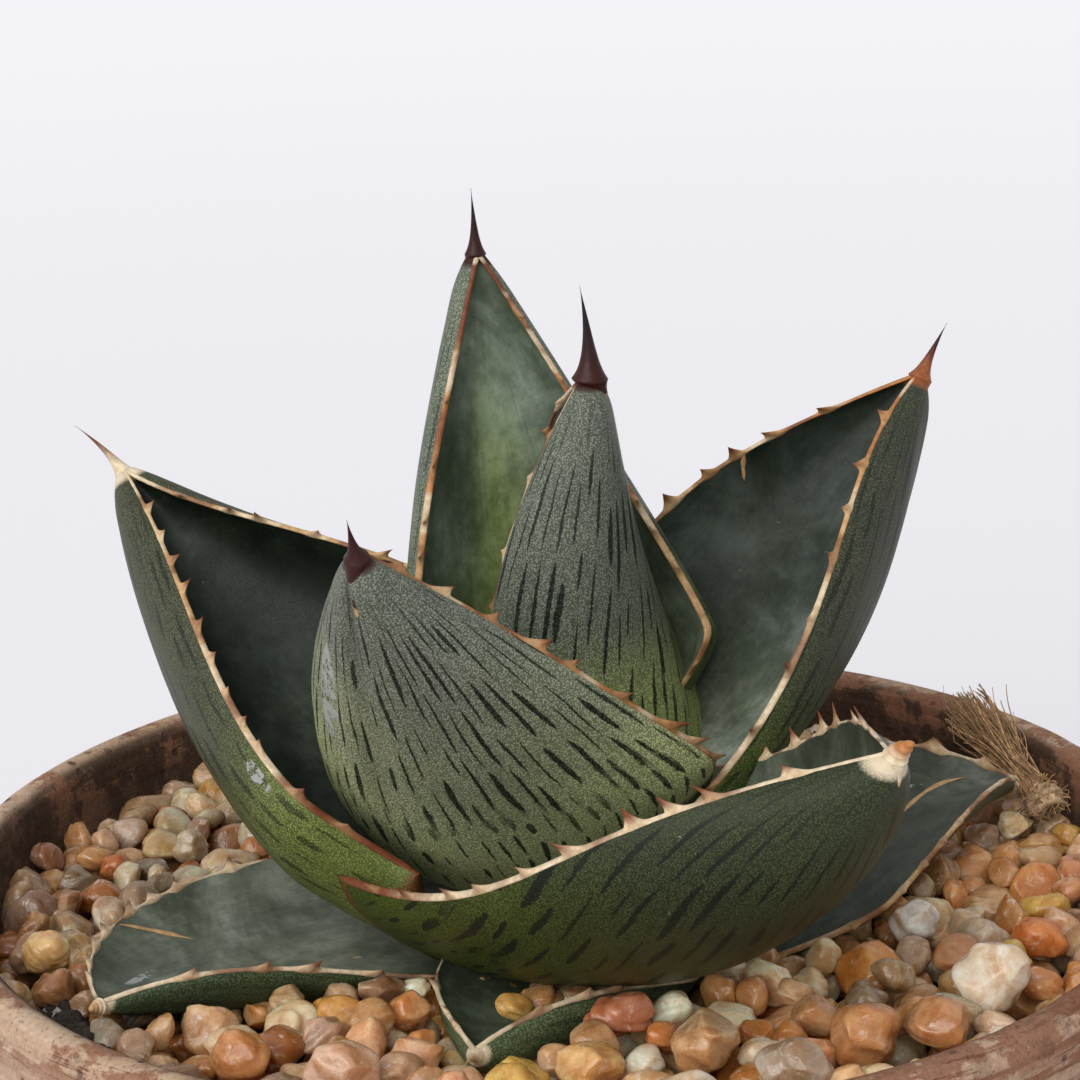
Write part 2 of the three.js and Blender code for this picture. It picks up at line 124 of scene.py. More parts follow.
LEAVES = {
    "leaf_center": dict(
        base=(6, -1.5, 69.5), heading=38, turn=16, rise=(94, 87, 1), length=69,
        half=(16, 26), outline=(0.87, 0.24, 2.4), cup=(85, 27, 119), twist=(-12, 28),
        thick=8, spine=(14, -4, 2), girth=2.7, wedge=2.5, blunt=False,
        upper=(0.10, 0.12, 0.09), stripe=(0.12, 0.15, 0.07),
        under=(0.124, 0.138, 0.110), root=(0.36, 0.415, 0.155), pale_base_and_light=(0.14, 0.16, 0.08),
        skew=0, pitch=2.0, dashes=1.0, teeth=0.9,
        margin=((0, TAN), (0.5, RUST), (1, RUST)), spine_tint=(MAROON, INK), scars=()),
    "leaf_back": dict(
        base=(3, 8.5, 67), heading=213, turn=-19, rise=(48, 91, 0.8), length=90,
        half=(36, 26), outline=(0.45, 0.24, 1.4), cup=(108, 48, 80), twist=(-4, 8),
        thick=8, spine=(10.5, 4, -1), girth=1.7, wedge=4, blunt=False,
        upper=(0.135, 0.16, 0.12), stripe=(0.18, 0.225, 0.055),
        under=(0.13, 0.15, 0.115), root=(0.13, 0.17, 0.06), pale_base_and_light=(0.15, 0.19, 0.04),
        skew=0, dashes=0.6, teeth=1.0,
        margin=((0, TAN), (0.45, TAN), (0.65, ORANGE), (0.85, RUST), (1, RUST)),
        spine_tint=(MAROON, INK), scars=()),
    "leaf_bud": dict(
        base=(5, 4, 68), heading=200, turn=0, rise=(88, 90, 1), length=44,
        half=(13, 13), outline=(0.9, 0.3, 1.6), cup=(130, 130, 140), twist=(0, 0),
        thick=4, spine=(8, 0, 0), girth=1.2, wedge=2, blunt=False,
        upper=(0.12, 0.15, 0.09), stripe=(0.14, 0.18, 0.06),
        under=(0.15, 0.18, 0.11), root=(0.18, 0.22, 0.08), pale_base_and_light=(0.15, 0.19, 0.08),
        skew=0, dashes=0.5, teeth=0.7,
        margin=((0, CREAM), (1, RUST)), spine_tint=(RUST, MAROON), scars=()),
    "leaf_front": dict(
        base=(-8, -3, 66), heading=-28, turn=12, rise=(39, 60, 0.5), length=75.5,
        half=(37, 37), outline=(0.9, 0.2, 1.4), cup=(95, 15, 82), twist=(20, -13),
        thick=7.4, spine=(7, 1, -7), girth=1.75, wedge=8.5, blunt=False,
        upper=(0.06, 0.07, 0.055), stripe=(0.07, 0.09, 0.05),
        # The very pale root is painted light over the base that leaf_front_low shades.
        under=(0.147, 0.158, 0.130), root=(0.50, 0.53, 0.275), reach=0.8,
        pale_base_and_light=(0.08, 0.09, 0.07), skew=-0.08, fold=1.0, dashes=1.0, teeth=2.4,
        margin=((0, TAN), (0.3, ORANGE), (0.7, ORANGE), (1, RUST)), spine_tint=(MAROON, MAROON),
        scars=((-0.41, 0.62, 0.10), (0.45, 0.45, 0.02), (0.62, 0.36, 0.02))),
    "leaf_right": dict(
        base=(9, 2.5, 65), heading=111, turn=12, rise=(38, 61, 0.9), length=86,
        half=(28.5, 29.5), outline=(0.77, 0.41, 2.2), cup=(56, 69, 117), twist=(10, -1),
        thick=6.7, spine=(9.5, -6, -6), girth=1.95, wedge=3, blunt=False,
        upper=(0.030, 0.037, 0.029), stripe=(0.075, 0.087, 0.066),
        under=(0.046, 0.051, 0.032), root=(0.10, 0.135, 0.035),
        # Painted light at the upper face's base, and a band of painted sheen.
        pale_base_and_light=(0.26, 0.28, 0.225), painted_sheen=(-0.15, (0.080, 0.095, 0.090)),
        skew=0, dashes=0.7, teeth=2.4,
        margin=((0, TAN), (0.3, CREAM), (0.6, TAN), (0.8, ORANGE), (1, ORANGE)),
        spine_tint=((0.27, 0.085, 0.028), MAROON), scars=((0.5, 0.62, 0.025),)),
    "leaf_left": dict(
        base=(-9.5, -10.5, 60.5), heading=-136, turn=7, rise=(12, 49, 0.65), length=98,
        half=(37, 37), outline=(0.61, 0.23, 1.8), cup=(35, 95, 144), twist=(-14, -25),
        thick=7.9, spine=(11.5, 13, -8), girth=1.7, wedge=3, blunt=False,
        upper=(0.010, 0.014, 0.009), stripe=(0.014, 0.018, 0.012),
        under=(0.058, 0.062, 0.037), root=(0.160, 0.190, 0.052),
        # Painted light at the upper face's base, and a band of painted sheen.
        pale_base_and_light=(0.045, 0.052, 0.045), painted_sheen=(-0.05, (0.052, 0.062, 0.051)),
        skew=0, dashes=0.7, teeth=2.4,
        margin=((0, RUST), (0.2, RUST), (0.27, CREAM), (0.55, TAN), (0.8, TAN), (1, CREAM)),
        spine_tint=(CREAM, RUST), scars=((0.95, 0.3, 0.03),)),
    "leaf_rear": dict(
        base=(2, 10, 60), heading=172, turn=4, rise=(18, 36, 1), length=62,
        half=(23, 23), outline=(0.8, 0.35, 1.8), cup=(45, 45, 110), twist=(0, 0),
        thick=6.5, spine=(9, 0, 0), girth=1.8, wedge=3, blunt=False,
        upper=(0.08, 0.095, 0.075), stripe=(0.09, 0.11, 0.06),
        under=(0.10, 0.11, 0.075), root=(0.15, 0.19, 0.06), pale_base_and_light=(0.10, 0.115, 0.08),
        skew=0, dashes=0.8, teeth=1.7,
        margin=((0, TAN), (0.4, CREAM), (1, ORANGE)), spine_tint=(ORANGE, MAROON),
        scars=((0.3, 0.5, 0.04),)),
    "leaf_front_low": dict(
        base=(-6, -11.5, 59), heading=33, turn=11, rise=(10.5, 62, 1.5), length=94,
        half=(32, 36), outline=(1, 0.35, 3.1), cup=(30, 79, 81), twist=(-10, 0),
        thick=7.8, spine=(4.5, 0, -32), girth=1.65, wedge=3, blunt=True,
        upper=(0.09, 0.10, 0.075), stripe=(0.1, 0.11, 0.07),
        under=(0.030, 0.038, 0.017), root=(0.060, 0.084, 0.012), reach=0.75,
        pale_base_and_light=(0.09, 0.10, 0.07), skew=0.85, pitch=3.3, dashes=1.0, teeth=2.8,
        margin=((0, RUST), (0.13, RUST), (0.18, CREAM), (0.6, CREAM), (1, CREAM)),
        spine_tint=(CREAM, ORANGE), scars=()),
    "leaf_ground_right": dict(
        base=(12, -5.5, 51.5), heading=115, turn=7, rise=(28, -17, 1.35), length=74,
        half=(28, 17.5), outline=(0.7, 0.37, 1.3), cup=(16, 27, 66), twist=(11, 14),
        thick=6, spine=(2.5, 0, -22), girth=1.3, wedge=2, blunt=True,
        upper=(0.090, 0.094, 0.078), stripe=(0.1, 0.12, 0.08),
        under=(0.08, 0.10, 0.06), root=(0.1, 0.12, 0.05), pale_base_and_light=(0.10, 0.11, 0.09),
        skew=0, dashes=0.4, teeth=1.8,
        margin=((0, TAN), (0.5, TAN), (1, CREAM)), spine_tint=(CREAM, TAN),
        scars=((-0.2, 0.55, 0.06), (0.1, 0.7, 0.05))),
    "leaf_ground_front": dict(
        base=(5, -8.5, 53), heading=-21, turn=2, rise=(-7, 20, 1), length=51.5,
        half=(17.5, 21.5), outline=(0.8, 0.35, 1.6), cup=(20, 20, 74), twist=(-6, 14),
        thick=6.2, spine=(6, 0, -19), girth=1.1, wedge=2, blunt=False,
        upper=(0.10, 0.12, 0.08), stripe=(0.11, 0.14, 0.07),
        under=(0.09, 0.12, 0.06), root=(0.1, 0.13, 0.05), pale_base_and_light=(0.10, 0.12, 0.07),
        skew=0, dashes=0.5, teeth=1.4,
        margin=((0, CREAM), (1, CREAM)), spine_tint=(CREAM, TAN), scars=()),
    "leaf_ground_left": dict(
        base=(-5, -4.5, 50), heading=-78, turn=40, rise=(2, 16.5, 1.2), length=73,
        half=(30, 16), outline=(0.9, 0.36, 2.7), cup=(29, 36, 50), twist=(-12, 18),
        thick=4, spine=(2.5, 6, -20), girth=1.2, wedge=2, blunt=True,
        upper=(0.135, 0.145, 0.115), stripe=(0.17, 0.175, 0.13),
        under=(0.06, 0.085, 0.045), root=(0.08, 0.10, 0.05), pale_base_and_light=(0.12, 0.13, 0.10),
        skew=0, dashes=0.3, teeth=2.2,
        margin=((0, TAN), (0.3, CREAM), (1, CREAM)), spine_tint=(CREAM, TAN),
        scars=((-0.45, 0.80, 0.05),)),
    "leaf_rear_low": dict(
        base=(-4, 9, 54), heading=-165, turn=-4, rise=(4, 12, 1), length=66,
        half=(22, 22), outline=(0.8, 0.35, 1.7), cup=(30, 30, 90), twist=(0, 0),
        thick=5.5, spine=(6, 0, 0), girth=1.4, wedge=2.5, blunt=False,
        upper=(0.10, 0.11, 0.085), stripe=(0.11, 0.12, 0.08),
        under=(0.09, 0.11, 0.07), root=(0.11, 0.13, 0.06), pale_base_and_light=(0.10, 0.12, 0.08),
        skew=0, dashes=0.5, teeth=1.7,
        margin=((0, TAN), (0.5, CREAM), (1, TAN)), spine_tint=(TAN, RUST),
        scars=((0.1, 0.6, 0.05),)),
}
MARGIN_THIN = 0.72       # how much thinner a leaf is at its margins
TIP_THICKNESS = 0.45     # share of a leaf's thickness left at its tip
MARGIN_POINTS = 12       # round the horny edge
DASH_PITCH = 2.7         # mm between two dashes across a leaf
DASH_RUN = 21.0          # mm between two dashes along a leaf

# Healed cuts in the upper faces: across and station of both ends, then the width in mm.
CUTS = (
    ("leaf_ground_left", (-0.98, 0.74), (-0.62, 0.62), 0.7),
    ("leaf_ground_right", (-0.30, 0.62), (0.10, 0.86), 0.7),
    ("leaf_right", (0.80, 0.69), (1.0, 0.735), 0.5),
    ("leaf_rear_low", (0.35, 0.60), (0.55, 0.75), 0.6),
)

# ---- loose stones: place, half sizes, turn in degrees and colour ------------------------

STONES = {
    "stone_cream_large": ((60, -42), (6, 5, 5), 20, (0.80, 0.70, 0.58)),
    "stone_white_right": ((52, -20), (4.6, 3.6, 3.3), 60, (0.62, 0.60, 0.57)),
    "stone_red_front": ((8, -47), (4.7, 3.4, 3.2), 5, (0.48, 0.20, 0.11)),
    "stone_orange_right": ((51, -54), (5, 4.2, 4), -30, (0.50, 0.27, 0.13)),
    "stone_orange_front": ((41, -57), (5.6, 4.6, 4.6), 35, (0.52, 0.27, 0.12)),
    "stone_yellow_left": ((-76, -20), (4, 3.6, 3.4), 10, (0.60, 0.42, 0.20)),
    "stone_honey_front": ((19, -58), (5.4, 4.5, 4.4), 70, (0.50, 0.32, 0.17)),
    "stone_grey_front": ((30, -66), (5, 4.2, 4), -10, (0.38, 0.31, 0.25)),
    "stone_pink_left": ((-30, -62), (5, 4.3, 4), 25, (0.55, 0.36, 0.25)),
    "stone_amber_left": ((-44, -57), (4.8, 4, 3.8), -50, (0.50, 0.25, 0.10)),
    "stone_brown_rear": ((30, 68), (5, 4, 3.8), 15, (0.34, 0.23, 0.15)),
    "stone_cream_rear": ((-46, 62), (4.8, 4.4, 4), 40, (0.66, 0.54, 0.40)),
}
PALE_STONES = ("stone_cream_large", "stone_white_right", "stone_grey_front",
               "stone_cream_rear")
STONE_SINK = 0.25
MOULDS = 28              # shapes that the gravel stones are cast from
PLACES_TRIED = 14        # for each stone
CLOSENESS = 0.90         # share of two stones' radii that keeps them apart
HEAP = 3.2               # mm that the pile may rise above the gravel's level
NEAR_SIDE = 25           # y in front of which the top stones are made finely
BAND_SIDE = 30           # x that parts the middle pieces of gravel from the side ones
BAND_FRONT = -45         # y that parts the front pieces

# Share and colour of the stones in the gravel.
QUARTZ = (
    (0.23, (0.53, 0.29, 0.13)), (0.09, (0.50, 0.21, 0.060)), (0.26, (0.58, 0.39, 0.22)),
    (0.18, (0.71, 0.59, 0.43)), (0.10, (0.37, 0.26, 0.17)), (0.09, (0.57, 0.37, 0.24)),
    (0.05, (0.62, 0.38, 0.11)),
)
FRONT_PAINTED_LIGHT = (1.05, 1.11, 1.25)    # painted light: how much brighter and paler the stones nearest the front are made

JUTE_ROUTE = ((80.5, 20.5, 59.8), (78.5, 24, 60.5), (76.5, 28.5, 62), (69, 45.5, 69))
BRUSH_FIBRES = 420
KNOT_FIBRES = 240
KNOT_LOOPS = 7
STEM = ((26, 0.6), (30, 4), (42, 9), (50, 11), (58, 9.5), (64, 6), (66, 1))    # height, radius
ROOTS = 5


# ---- settings --------------------------------------------------------------------------


class AgaveLeafSettings(bpy.types.PropertyGroup):
    """How finely the leaves are made and how rough their margins are."""

    stations: IntProperty(
        name="Stations", description="Cross-sections along one leaf", default=170, min=40)
    columns: IntProperty(
        name="Columns", description="Points across one face of a leaf", default=45, min=9)
    margin_radius: FloatProperty(
        name="Margin radius", description="Half thickness of the horny edge",
        default=0.00031, unit="LENGTH", precision=5)
    tooth_spacing: FloatProperty(
        name="Tooth spacing", description="Mean distance between two teeth",
        default=0.0082, unit="LENGTH", precision=4)
    spine_girth: FloatProperty(
        name="Spine girth", description="Thickness of the spines, as a factor",
        default=1.0, min=0.2)
    seed: IntProperty(name="Seed", description="Seed of the teeth and blemishes", default=7)


class AgaveGravelSettings(bpy.types.PropertyGroup):
    """Size, number and colour of the gravel."""

    radius: FloatProperty(
        name="Stone radius", description="Mean radius of a stone", default=0.0033,
        unit="LENGTH", precision=4)
    spread: FloatProperty(
        name="Radius spread", description="Standard deviation of the radius",
        default=0.00062, unit="LENGTH", precision=5)
    tries: IntProperty(
        name="Tries", description="How many stones are dropped into the bowl", default=4200)
    seed: IntProperty(name="Seed", description="Seed of the pile", default=21)


class AgavePotSettings(bpy.types.PropertyGroup):
    """Clay colours of the bowl."""

    slip: FloatVectorProperty(
        name="Slip", description="Pale skin of the clay", subtype="COLOR", size=3,
        default=(0.52, 0.375, 0.262), min=0, max=1)
    clay: FloatVectorProperty(
        name="Clay", description="Red-brown clay where the slip is worn", subtype="COLOR",
        size=3, default=(0.21, 0.090, 0.050), min=0, max=1)
    speck: FloatVectorProperty(
        name="Speck", description="Dark iron specks", subtype="COLOR", size=3,
        default=(0.055, 0.030, 0.020), min=0, max=1)
    segments: IntProperty(
        name="Segments", description="Steps round the bowl", default=360, min=24)


class AgaveStageSettings(bpy.types.PropertyGroup):
    """Floor, light and camera."""

    floor_colour: FloatVectorProperty(
        name="Floor", description="Colour of the floor", subtype="COLOR", size=3,
        default=(0.82, 0.81, 0.845), min=0, max=1)
    key_power: FloatProperty(
        name="Key", description="Strength of the soft overhead light", default=2.30)
    sky_power: FloatProperty(
        name="Sky", description="Strength of the surrounding light", default=0.63)
    lens: FloatProperty(
        name="Lens", description="Focal length in millimetres", default=100.0)
    tilt: FloatProperty(
        name="Tilt", description="How far the camera looks down", subtype="ANGLE",
        default=math.radians(16.2))
    roll: FloatProperty(
        name="Roll", description="Turn of the camera about its axis", subtype="ANGLE",
        default=math.radians(-1.92))
    distance: FloatProperty(
        name="Distance", description="From the camera to its aim", unit="LENGTH",
        default=0.4444, precision=4)


# ---- mesh helpers ----------------------------------------------------------------------


class Shape:
    """Collects points, faces and point values in millimetres, then makes one object."""

    def __init__(self):
        self.points, self.faces, self.values, self.count = [], [], {}, 0

    def add(self, points, faces, **values):
        """Adds points, the faces between them and values for each point."""
        points = np.asarray(points, float).reshape(-1, 3)
        for name, value in values.items():
            value = np.asarray(value, float)
            if value.ndim == 1 and len(value) != len(points):
                value = np.tile(value, (len(points), 1))
            self.values.setdefault(name, []).append(value)
        self.faces.append(np.asarray(faces, int) + self.count)
        self.points.append(points)
        self.count += len(points)

    def build(self, name, material):
        """Makes one smooth object of everything added."""
        mesh = bpy.data.meshes.new(name)
        points = np.concatenate(self.points) * MM
        mesh.vertices.add(len(points))
        mesh.vertices.foreach_set("co", points.astype(np.float32).ravel())
        loops = np.concatenate([faces.ravel() for faces in self.faces])
        sizes = np.concatenate([np.full(len(faces), faces.shape[1]) for faces in self.faces])
        mesh.loops.add(len(loops))
        mesh.loops.foreach_set("vertex_index", loops.astype(np.int32))
        mesh.polygons.add(len(sizes))
        starts = np.concatenate([[0], np.cumsum(sizes)[:-1]])
        mesh.polygons.foreach_set("loop_start", starts.astype(np.int32))
        mesh.update(calc_edges=True)
        for key, parts in self.values.items():
            data = np.concatenate(parts).astype(np.float32)
            if data.ndim == 1:
                mesh.attributes.new(key, "FLOAT", "POINT").data.foreach_set("value", data)
            else:
                rgba = np.column_stack([data, np.ones(len(data), np.float32)])
                layer = mesh.attributes.new(key, "FLOAT_COLOR", "POINT")
                layer.data.foreach_set("color", rgba.ravel())
        mesh.shade_smooth()
        mesh.validate()
        piece = bpy.data.objects.new(name, mesh)
        bpy.context.scene.collection.objects.link(piece)
        mesh.materials.append(material)
        return piece


def settle(piece, slot, *nodes):
    """Rides a piece on the one body and hides the nodes that it stands for. slot is not used."""
    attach(piece, BODY)
    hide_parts(*nodes)
    return piece


def grid(rows, columns, closed=True, wrap=False):
    """Quads of a grid of points, closed across its columns, or along its rows too."""
    across = np.arange(columns if closed else columns - 1)
    down = np.arange(rows if wrap else rows - 1)
    i, j = np.meshgrid(down, across, indexing="ij")
    a = i * columns + j
    b = i * columns + (j + 1) % columns
    c = ((i + 1) % rows) * columns + (j + 1) % columns
    d = ((i + 1) % rows) * columns + j
    return np.stack([a, d, c, b], -1).reshape(-1, 4)


def ladder(start, count, flip):
    """Quads that close a ring of count points, rung by rung."""
    j = np.arange(count // 2 - 1)
    quads = np.stack([j, j + 1, count - 2 - j, count - 1 - j], -1) + start
    return quads[:, ::-1] if flip else quads


def capped(rows, count):
    """Faces of a tube of rows rings with count points each, closed at both ends."""
    return np.concatenate([
        grid(rows, count), ladder(0, count, False), ladder((rows - 1) * count, count, True)])


def unit(vectors):
    """The same directions at length 1."""
    return vectors / np.maximum(np.linalg.norm(vectors, axis=-1, keepdims=True), 1e-9)


def blend(a, b, t):
    """From a to b by t, for numbers or for colours with t per point."""
    t = np.asarray(t, float)
    if np.ndim(a) or np.ndim(b):
        t = t[..., None]
    return np.asarray(a, float) + (np.asarray(b, float) - np.asarray(a, float)) * t


def ease(value, low, high):
    """A smooth step from 0 at low to 1 at high."""
    t = np.clip((np.asarray(value, float) - low) / (high - low), 0, 1)
    return t * t * (3 - 2 * t)


def waves(seed, x, y, size, count=6):
    """Smooth noise from -1 to 1, as a sum of plane waves about size long."""
    rng = np.random.default_rng(seed)
    total = 0.0
    for _ in range(count):
        angle, phase = rng.uniform(0, 2 * np.pi, 2)
        pitch = size * rng.uniform(0.6, 1.6)
        total = total + np.sin(
            2 * np.pi * (x * np.cos(angle) + y * np.sin(angle)) / pitch + phase)
    return total / count * 1.6


def ring_points(centres, side, top, radii, count):
    """Rings of points round centres, in the order that grid turns outwards."""
    angle = np.pi - (np.arange(count) + 0.5) * 2 * np.pi / count
    radii = np.broadcast_to(np.asarray(radii, float), (len(centres),))[:, None, None]
    return centres[:, None] + radii * (
        np.cos(angle)[None, :, None] * side[:, None]
        + np.sin(angle)[None, :, None] * top[:, None])


def across_route(points):
    """Two directions across a route of points, at right angles to it."""
    along = unit(np.gradient(points, axis=0))
    side = unit(np.cross(NEARLY_UP, along))
    return side, np.cross(along, side)


def bezier(a, b, c, t):
    """Points of the curve from a to c that b bends."""
    t = np.asarray(t, float)[:, None]
    return (1 - t) ** 2 * a + 2 * t * (1 - t) * b + t ** 2 * c


# ---- material helpers ------------------------------------------------------------------


class Finish:
    """A material's node tree, with short calls that add and join its nodes."""

    def __init__(self, name):
        self.material = bpy.data.materials.new(name)
        self.material.use_nodes = True
        self.tree = self.material.node_tree
        self.surface = self.tree.nodes["Principled BSDF"]
        self.place = self.node("ShaderNodeTexCoord").outputs["Object"]

    def node(self, kind, inputs=None, **settings):
        """Adds a node with its settings, and feeds its inputs."""
        node = self.tree.nodes.new(kind)
        for key, value in settings.items():
            setattr(node, key, value)
        for key, value in (inputs or {}).items():
            self.feed(node.inputs[key], value)
        return node

    def feed(self, socket, value):
        """Links a socket to another one, or sets its value."""
        if isinstance(value, bpy.types.NodeSocket):
            self.tree.links.new(value, socket)
        else:
            socket.default_value = value

    def value(self, name):
        """A number that the mesh holds for each point."""
        return self.node("ShaderNodeAttribute", attribute_name=name).outputs["Fac"]

    def colour(self, name):
        """A colour that the mesh holds for each point."""
        return self.node("ShaderNodeAttribute", attribute_name=name).outputs["Color"]

    def scaled(self, vector, scale):
        return self.node("ShaderNodeMapping", {
            "Vector": vector, "Scale": scale}).outputs["Vector"]

    def noise(self, scale, detail=2.0, roughness=0.5, vector=None, warp=0.0):
        return self.node("ShaderNodeTexNoise", {
            "Vector": vector or self.place, "Scale": scale, "Detail": detail,
            "Roughness": roughness, "Distortion": warp}).outputs["Fac"]

    def cells(self, scale):
        return self.node("ShaderNodeTexVoronoi", {
            "Vector": self.place, "Scale": scale}).outputs["Distance"]

    def range(self, value, low, high, start=0.0, end=1.0):
        """A smooth step from start at low to end at high."""
        return self.node("ShaderNodeMapRange", {
            "Value": value, "From Min": low, "From Max": high, "To Min": start,
            "To Max": end}, interpolation_type="SMOOTHSTEP").outputs["Result"]

    def math(self, operation, a, b=0.0):
        node = self.node("ShaderNodeMath", operation=operation)
        self.feed(node.inputs[0], a)
        self.feed(node.inputs[1], b)
        return node.outputs[0]

    def times(self, a, b):
        return self.math("MULTIPLY", a, b)

    def plus(self, a, b):
        return self.math("ADD", a, b)

    def minus(self, a, b):
        return self.math("SUBTRACT", a, b)

    def mix(self, factor, a, b, mode="MIX"):
        node = self.node("ShaderNodeMix", data_type="RGBA", blend_type=mode)
        for index, value in ((0, factor), (6, a), (7, b)):
            is_colour = isinstance(value, tuple) and len(value) == 3
            self.feed(node.inputs[index], (*value, 1.0) if is_colour else value)
        return node.outputs[2]

    def tinted(self, colour, by):
        """A colour multiplied by another one."""
        return self.mix(1.0, colour, by, "MULTIPLY")

    def dyed(self, mask, colour, by):
        """A colour, multiplied by another one where the mask is 1."""
        return self.mix(mask, colour, self.tinted(colour, by))

    def shades(self, mask, colour, low, high):
        """A colour, multiplied by low where the mask is 0 and by high where it is 1."""
        return self.mix(mask, self.tinted(colour, low), self.tinted(colour, high))

    def dice(self, x, y, z):
        """Random numbers for each whole x, y and z."""
        cell = self.node("ShaderNodeCombineXYZ", {"X": x, "Y": y, "Z": z}).outputs[0]
        return self.node("ShaderNodeTexWhiteNoise", {"Vector": cell}).outputs

    def bump(self, height, distance, strength=1.0, under=None):
        inputs = {"Height": height, "Distance": distance, "Strength": strength}
        if under is not None:
            inputs["Normal"] = under
        return self.node("ShaderNodeBump", inputs).outputs["Normal"]

    def finish(self, colour, roughness, normal=None, **constants):
        """Joins the parts to the surface and returns the material."""
        self.feed(self.surface.inputs["Base Color"], colour)
        self.feed(self.surface.inputs["Roughness"], roughness)
        if normal is not None:
            self.feed(self.surface.inputs["Normal"], normal)
        for key, value in constants.items():
            self.surface.inputs[key.replace("_", " ")].default_value = value
        return self.material


def shared(name, make):
    """The material of that name, made once."""
    return bpy.data.materials.get(name) or make(name)


def dash_rows(look, x, y, run, width, slim, seed):
    """Rows of dashes that run along y, in columns one unit apart along x, thinned by slim."""
    column = look.math("FLOOR", x)
    shift = look.dice(column, seed, seed)["Value"]
    y = look.plus(look.times(y, run), look.times(shift, 13.0))
    row = look.math("FLOOR", y)
    dice = look.node("ShaderNodeSeparateColor", {
        "Color": look.dice(column, row, seed + 1.0)["Color"]}).outputs
    nudge = look.times(look.minus(dice[0], 0.5), 0.42)
    across = look.math("ABSOLUTE", look.minus(look.minus(x, column), look.plus(nudge, 0.5)))
    down = look.math("ABSOLUTE", look.minus(look.minus(y, row), 0.5))
    reach = look.range(dice[1], 0.0, 0.65, 0.20, 0.49)
    share = look.math("POWER", look.math("DIVIDE", down, reach), 2.5)
    taper = look.math("SQRT", look.math("MAXIMUM", look.minus(1.0, share), 0.0))
    wide = look.times(taper, look.range(dice[2], 0.0, 1.0, width * 0.65, width * 1.3))
    wide = look.times(wide, slim)
    return look.range(look.minus(wide, across), 0.0, 0.09)


def leaf_skin(name):
    """Mealy grey-green skin with dark lengthwise dashes on the under face."""
    look = Finish(name)
    tone = look.colour("tone")
    flow = look.colour("flow")
    upper = look.value("upper")
    base = look.value("base")
    lower = look.minus(1.0, upper)
    grains = look.times(look.noise(2500, 2.0), 0.40)
    meal = look.range(look.minus(look.cells(3700), grains), 0.36, 0.06)
    flecks = look.plus(0.18, look.times(meal, look.range(base, 0.02, 0.30, 0.50, 0.82)))
    under = look.shades(flecks, tone, (0.37, 0.41, 0.32), (1.84, 1.82, 1.88))
    film = look.noise(30, 5.0, 0.66, warp=0.9)
    smooth = look.shades(look.range(film, 0.40, 0.70), tone, (0.52, 0.57, 0.51),
                         (1.50, 1.54, 1.62))
    mottle = look.noise(170, 5.0, 0.72)
    smooth = look.shades(look.range(mottle, 0.36, 0.64), smooth, (0.74, 0.76, 0.74),
                         (1.24, 1.24, 1.26))
    smooth = look.dyed(look.times(meal, 0.25), smooth, (1.45, 1.45, 1.45))
    skin = look.mix(upper, under, smooth)
    streak = look.noise(1.0, 3.0, 0.6, look.scaled(flow, (4.0, 1.0, 0.0)))
    skin = look.dyed(look.range(streak, 0.40, 0.70, 0.0, 0.40), skin, (0.64, 0.68, 0.62))
    broad = look.noise(60, 3.0, 0.6)
    skin = look.dyed(look.range(broad, 0.35, 0.70, 0.0, 0.6), skin, (1.25, 1.22, 1.12))
    bend = look.noise(1.0, 2.0, 0.5, look.scaled(flow, (0.5, 1.2, 0.0)))
    frayed = look.noise(1300, 2.0, 0.6)
    x, y, _ = look.node("ShaderNodeSeparateXYZ", {"Vector": flow}).outputs
    x = look.plus(x, look.times(bend, 0.8))
    x = look.plus(x, look.times(frayed, 0.22))
    slim = look.range(base, 0.0, 0.40, 0.50, 1.0)
    fine = dash_rows(look, x, y, 1.45, 0.185, slim, 3.0)
    short = dash_rows(look, x, y, 2.7, 0.235, slim, 9.0)
    border = look.plus(base, look.times(look.noise(90, 2.0), 0.16))
    marks = look.mix(look.range(border, 0.28, 0.46), short, fine)
    marks = look.times(marks, look.range(base, 0.03, 0.10))
    marks = look.times(marks, look.range(base, 0.97, 0.80, 0.25, 1.0))
    marks = look.times(marks, look.times(look.value("dashes"), lower))
    marks = look.times(marks, look.range(meal, 0.2, 1.0, 0.96, 0.82))
    skin = look.mix(marks, skin, (0.007, 0.011, 0.007))
    flakes = look.range(look.noise(520, 4.0, 0.7), 0.44, 0.50)
    crust = look.times(look.range(look.value("scar"), 0.40, 0.55), flakes)
    skin = look.mix(look.times(crust, 0.75), skin, (0.42, 0.43, 0.42))
    dust = look.range(look.noise(750, 3.0, 0.75, warp=0.4), 0.72, 0.76, 0.0, 0.55)
    skin = look.mix(dust, skin, (0.40, 0.40, 0.38))
    skin = look.mix(look.times(look.value("tip_horn"), 0.95), skin, tone)
    rough = look.plus(look.range(meal, 0, 1, 0.42, 0.58), look.times(upper, 0.05))
    ridges = look.noise(1.0, 2.0, 0.5, look.scaled(flow, (9.0, 0.4, 0.0)))
    normal = look.bump(look.times(ridges, lower), 0.00022, 0.30)
    normal = look.bump(look.times(meal, look.range(upper, 0, 1, 1, 0.12)),
                       0.00009, 0.40, normal)
    normal = look.bump(look.times(marks, -1.0), 0.00010, 0.4, normal)
    normal = look.bump(crust, 0.00020, 0.6, normal)
    return look.finish(skin, rough, normal, Specular_IOR_Level=0.18)


def horn(name):
    """Hard, slightly glossy horn of margins, teeth and spines."""
    look = Finish(name)
    tint = look.colour("tint")
    grain = look.noise(900, 4.0, 0.62)
    shade = look.shades(look.range(grain, 0.32, 0.7), tint, (0.80, 0.74, 0.68),
                        (1.14, 1.14, 1.12))
    normal = look.bump(grain, 0.00010, 0.5)
    return look.finish(shade, look.range(grain, 0.2, 0.8, 0.52, 0.36), normal,
                       Specular_IOR_Level=0.27)


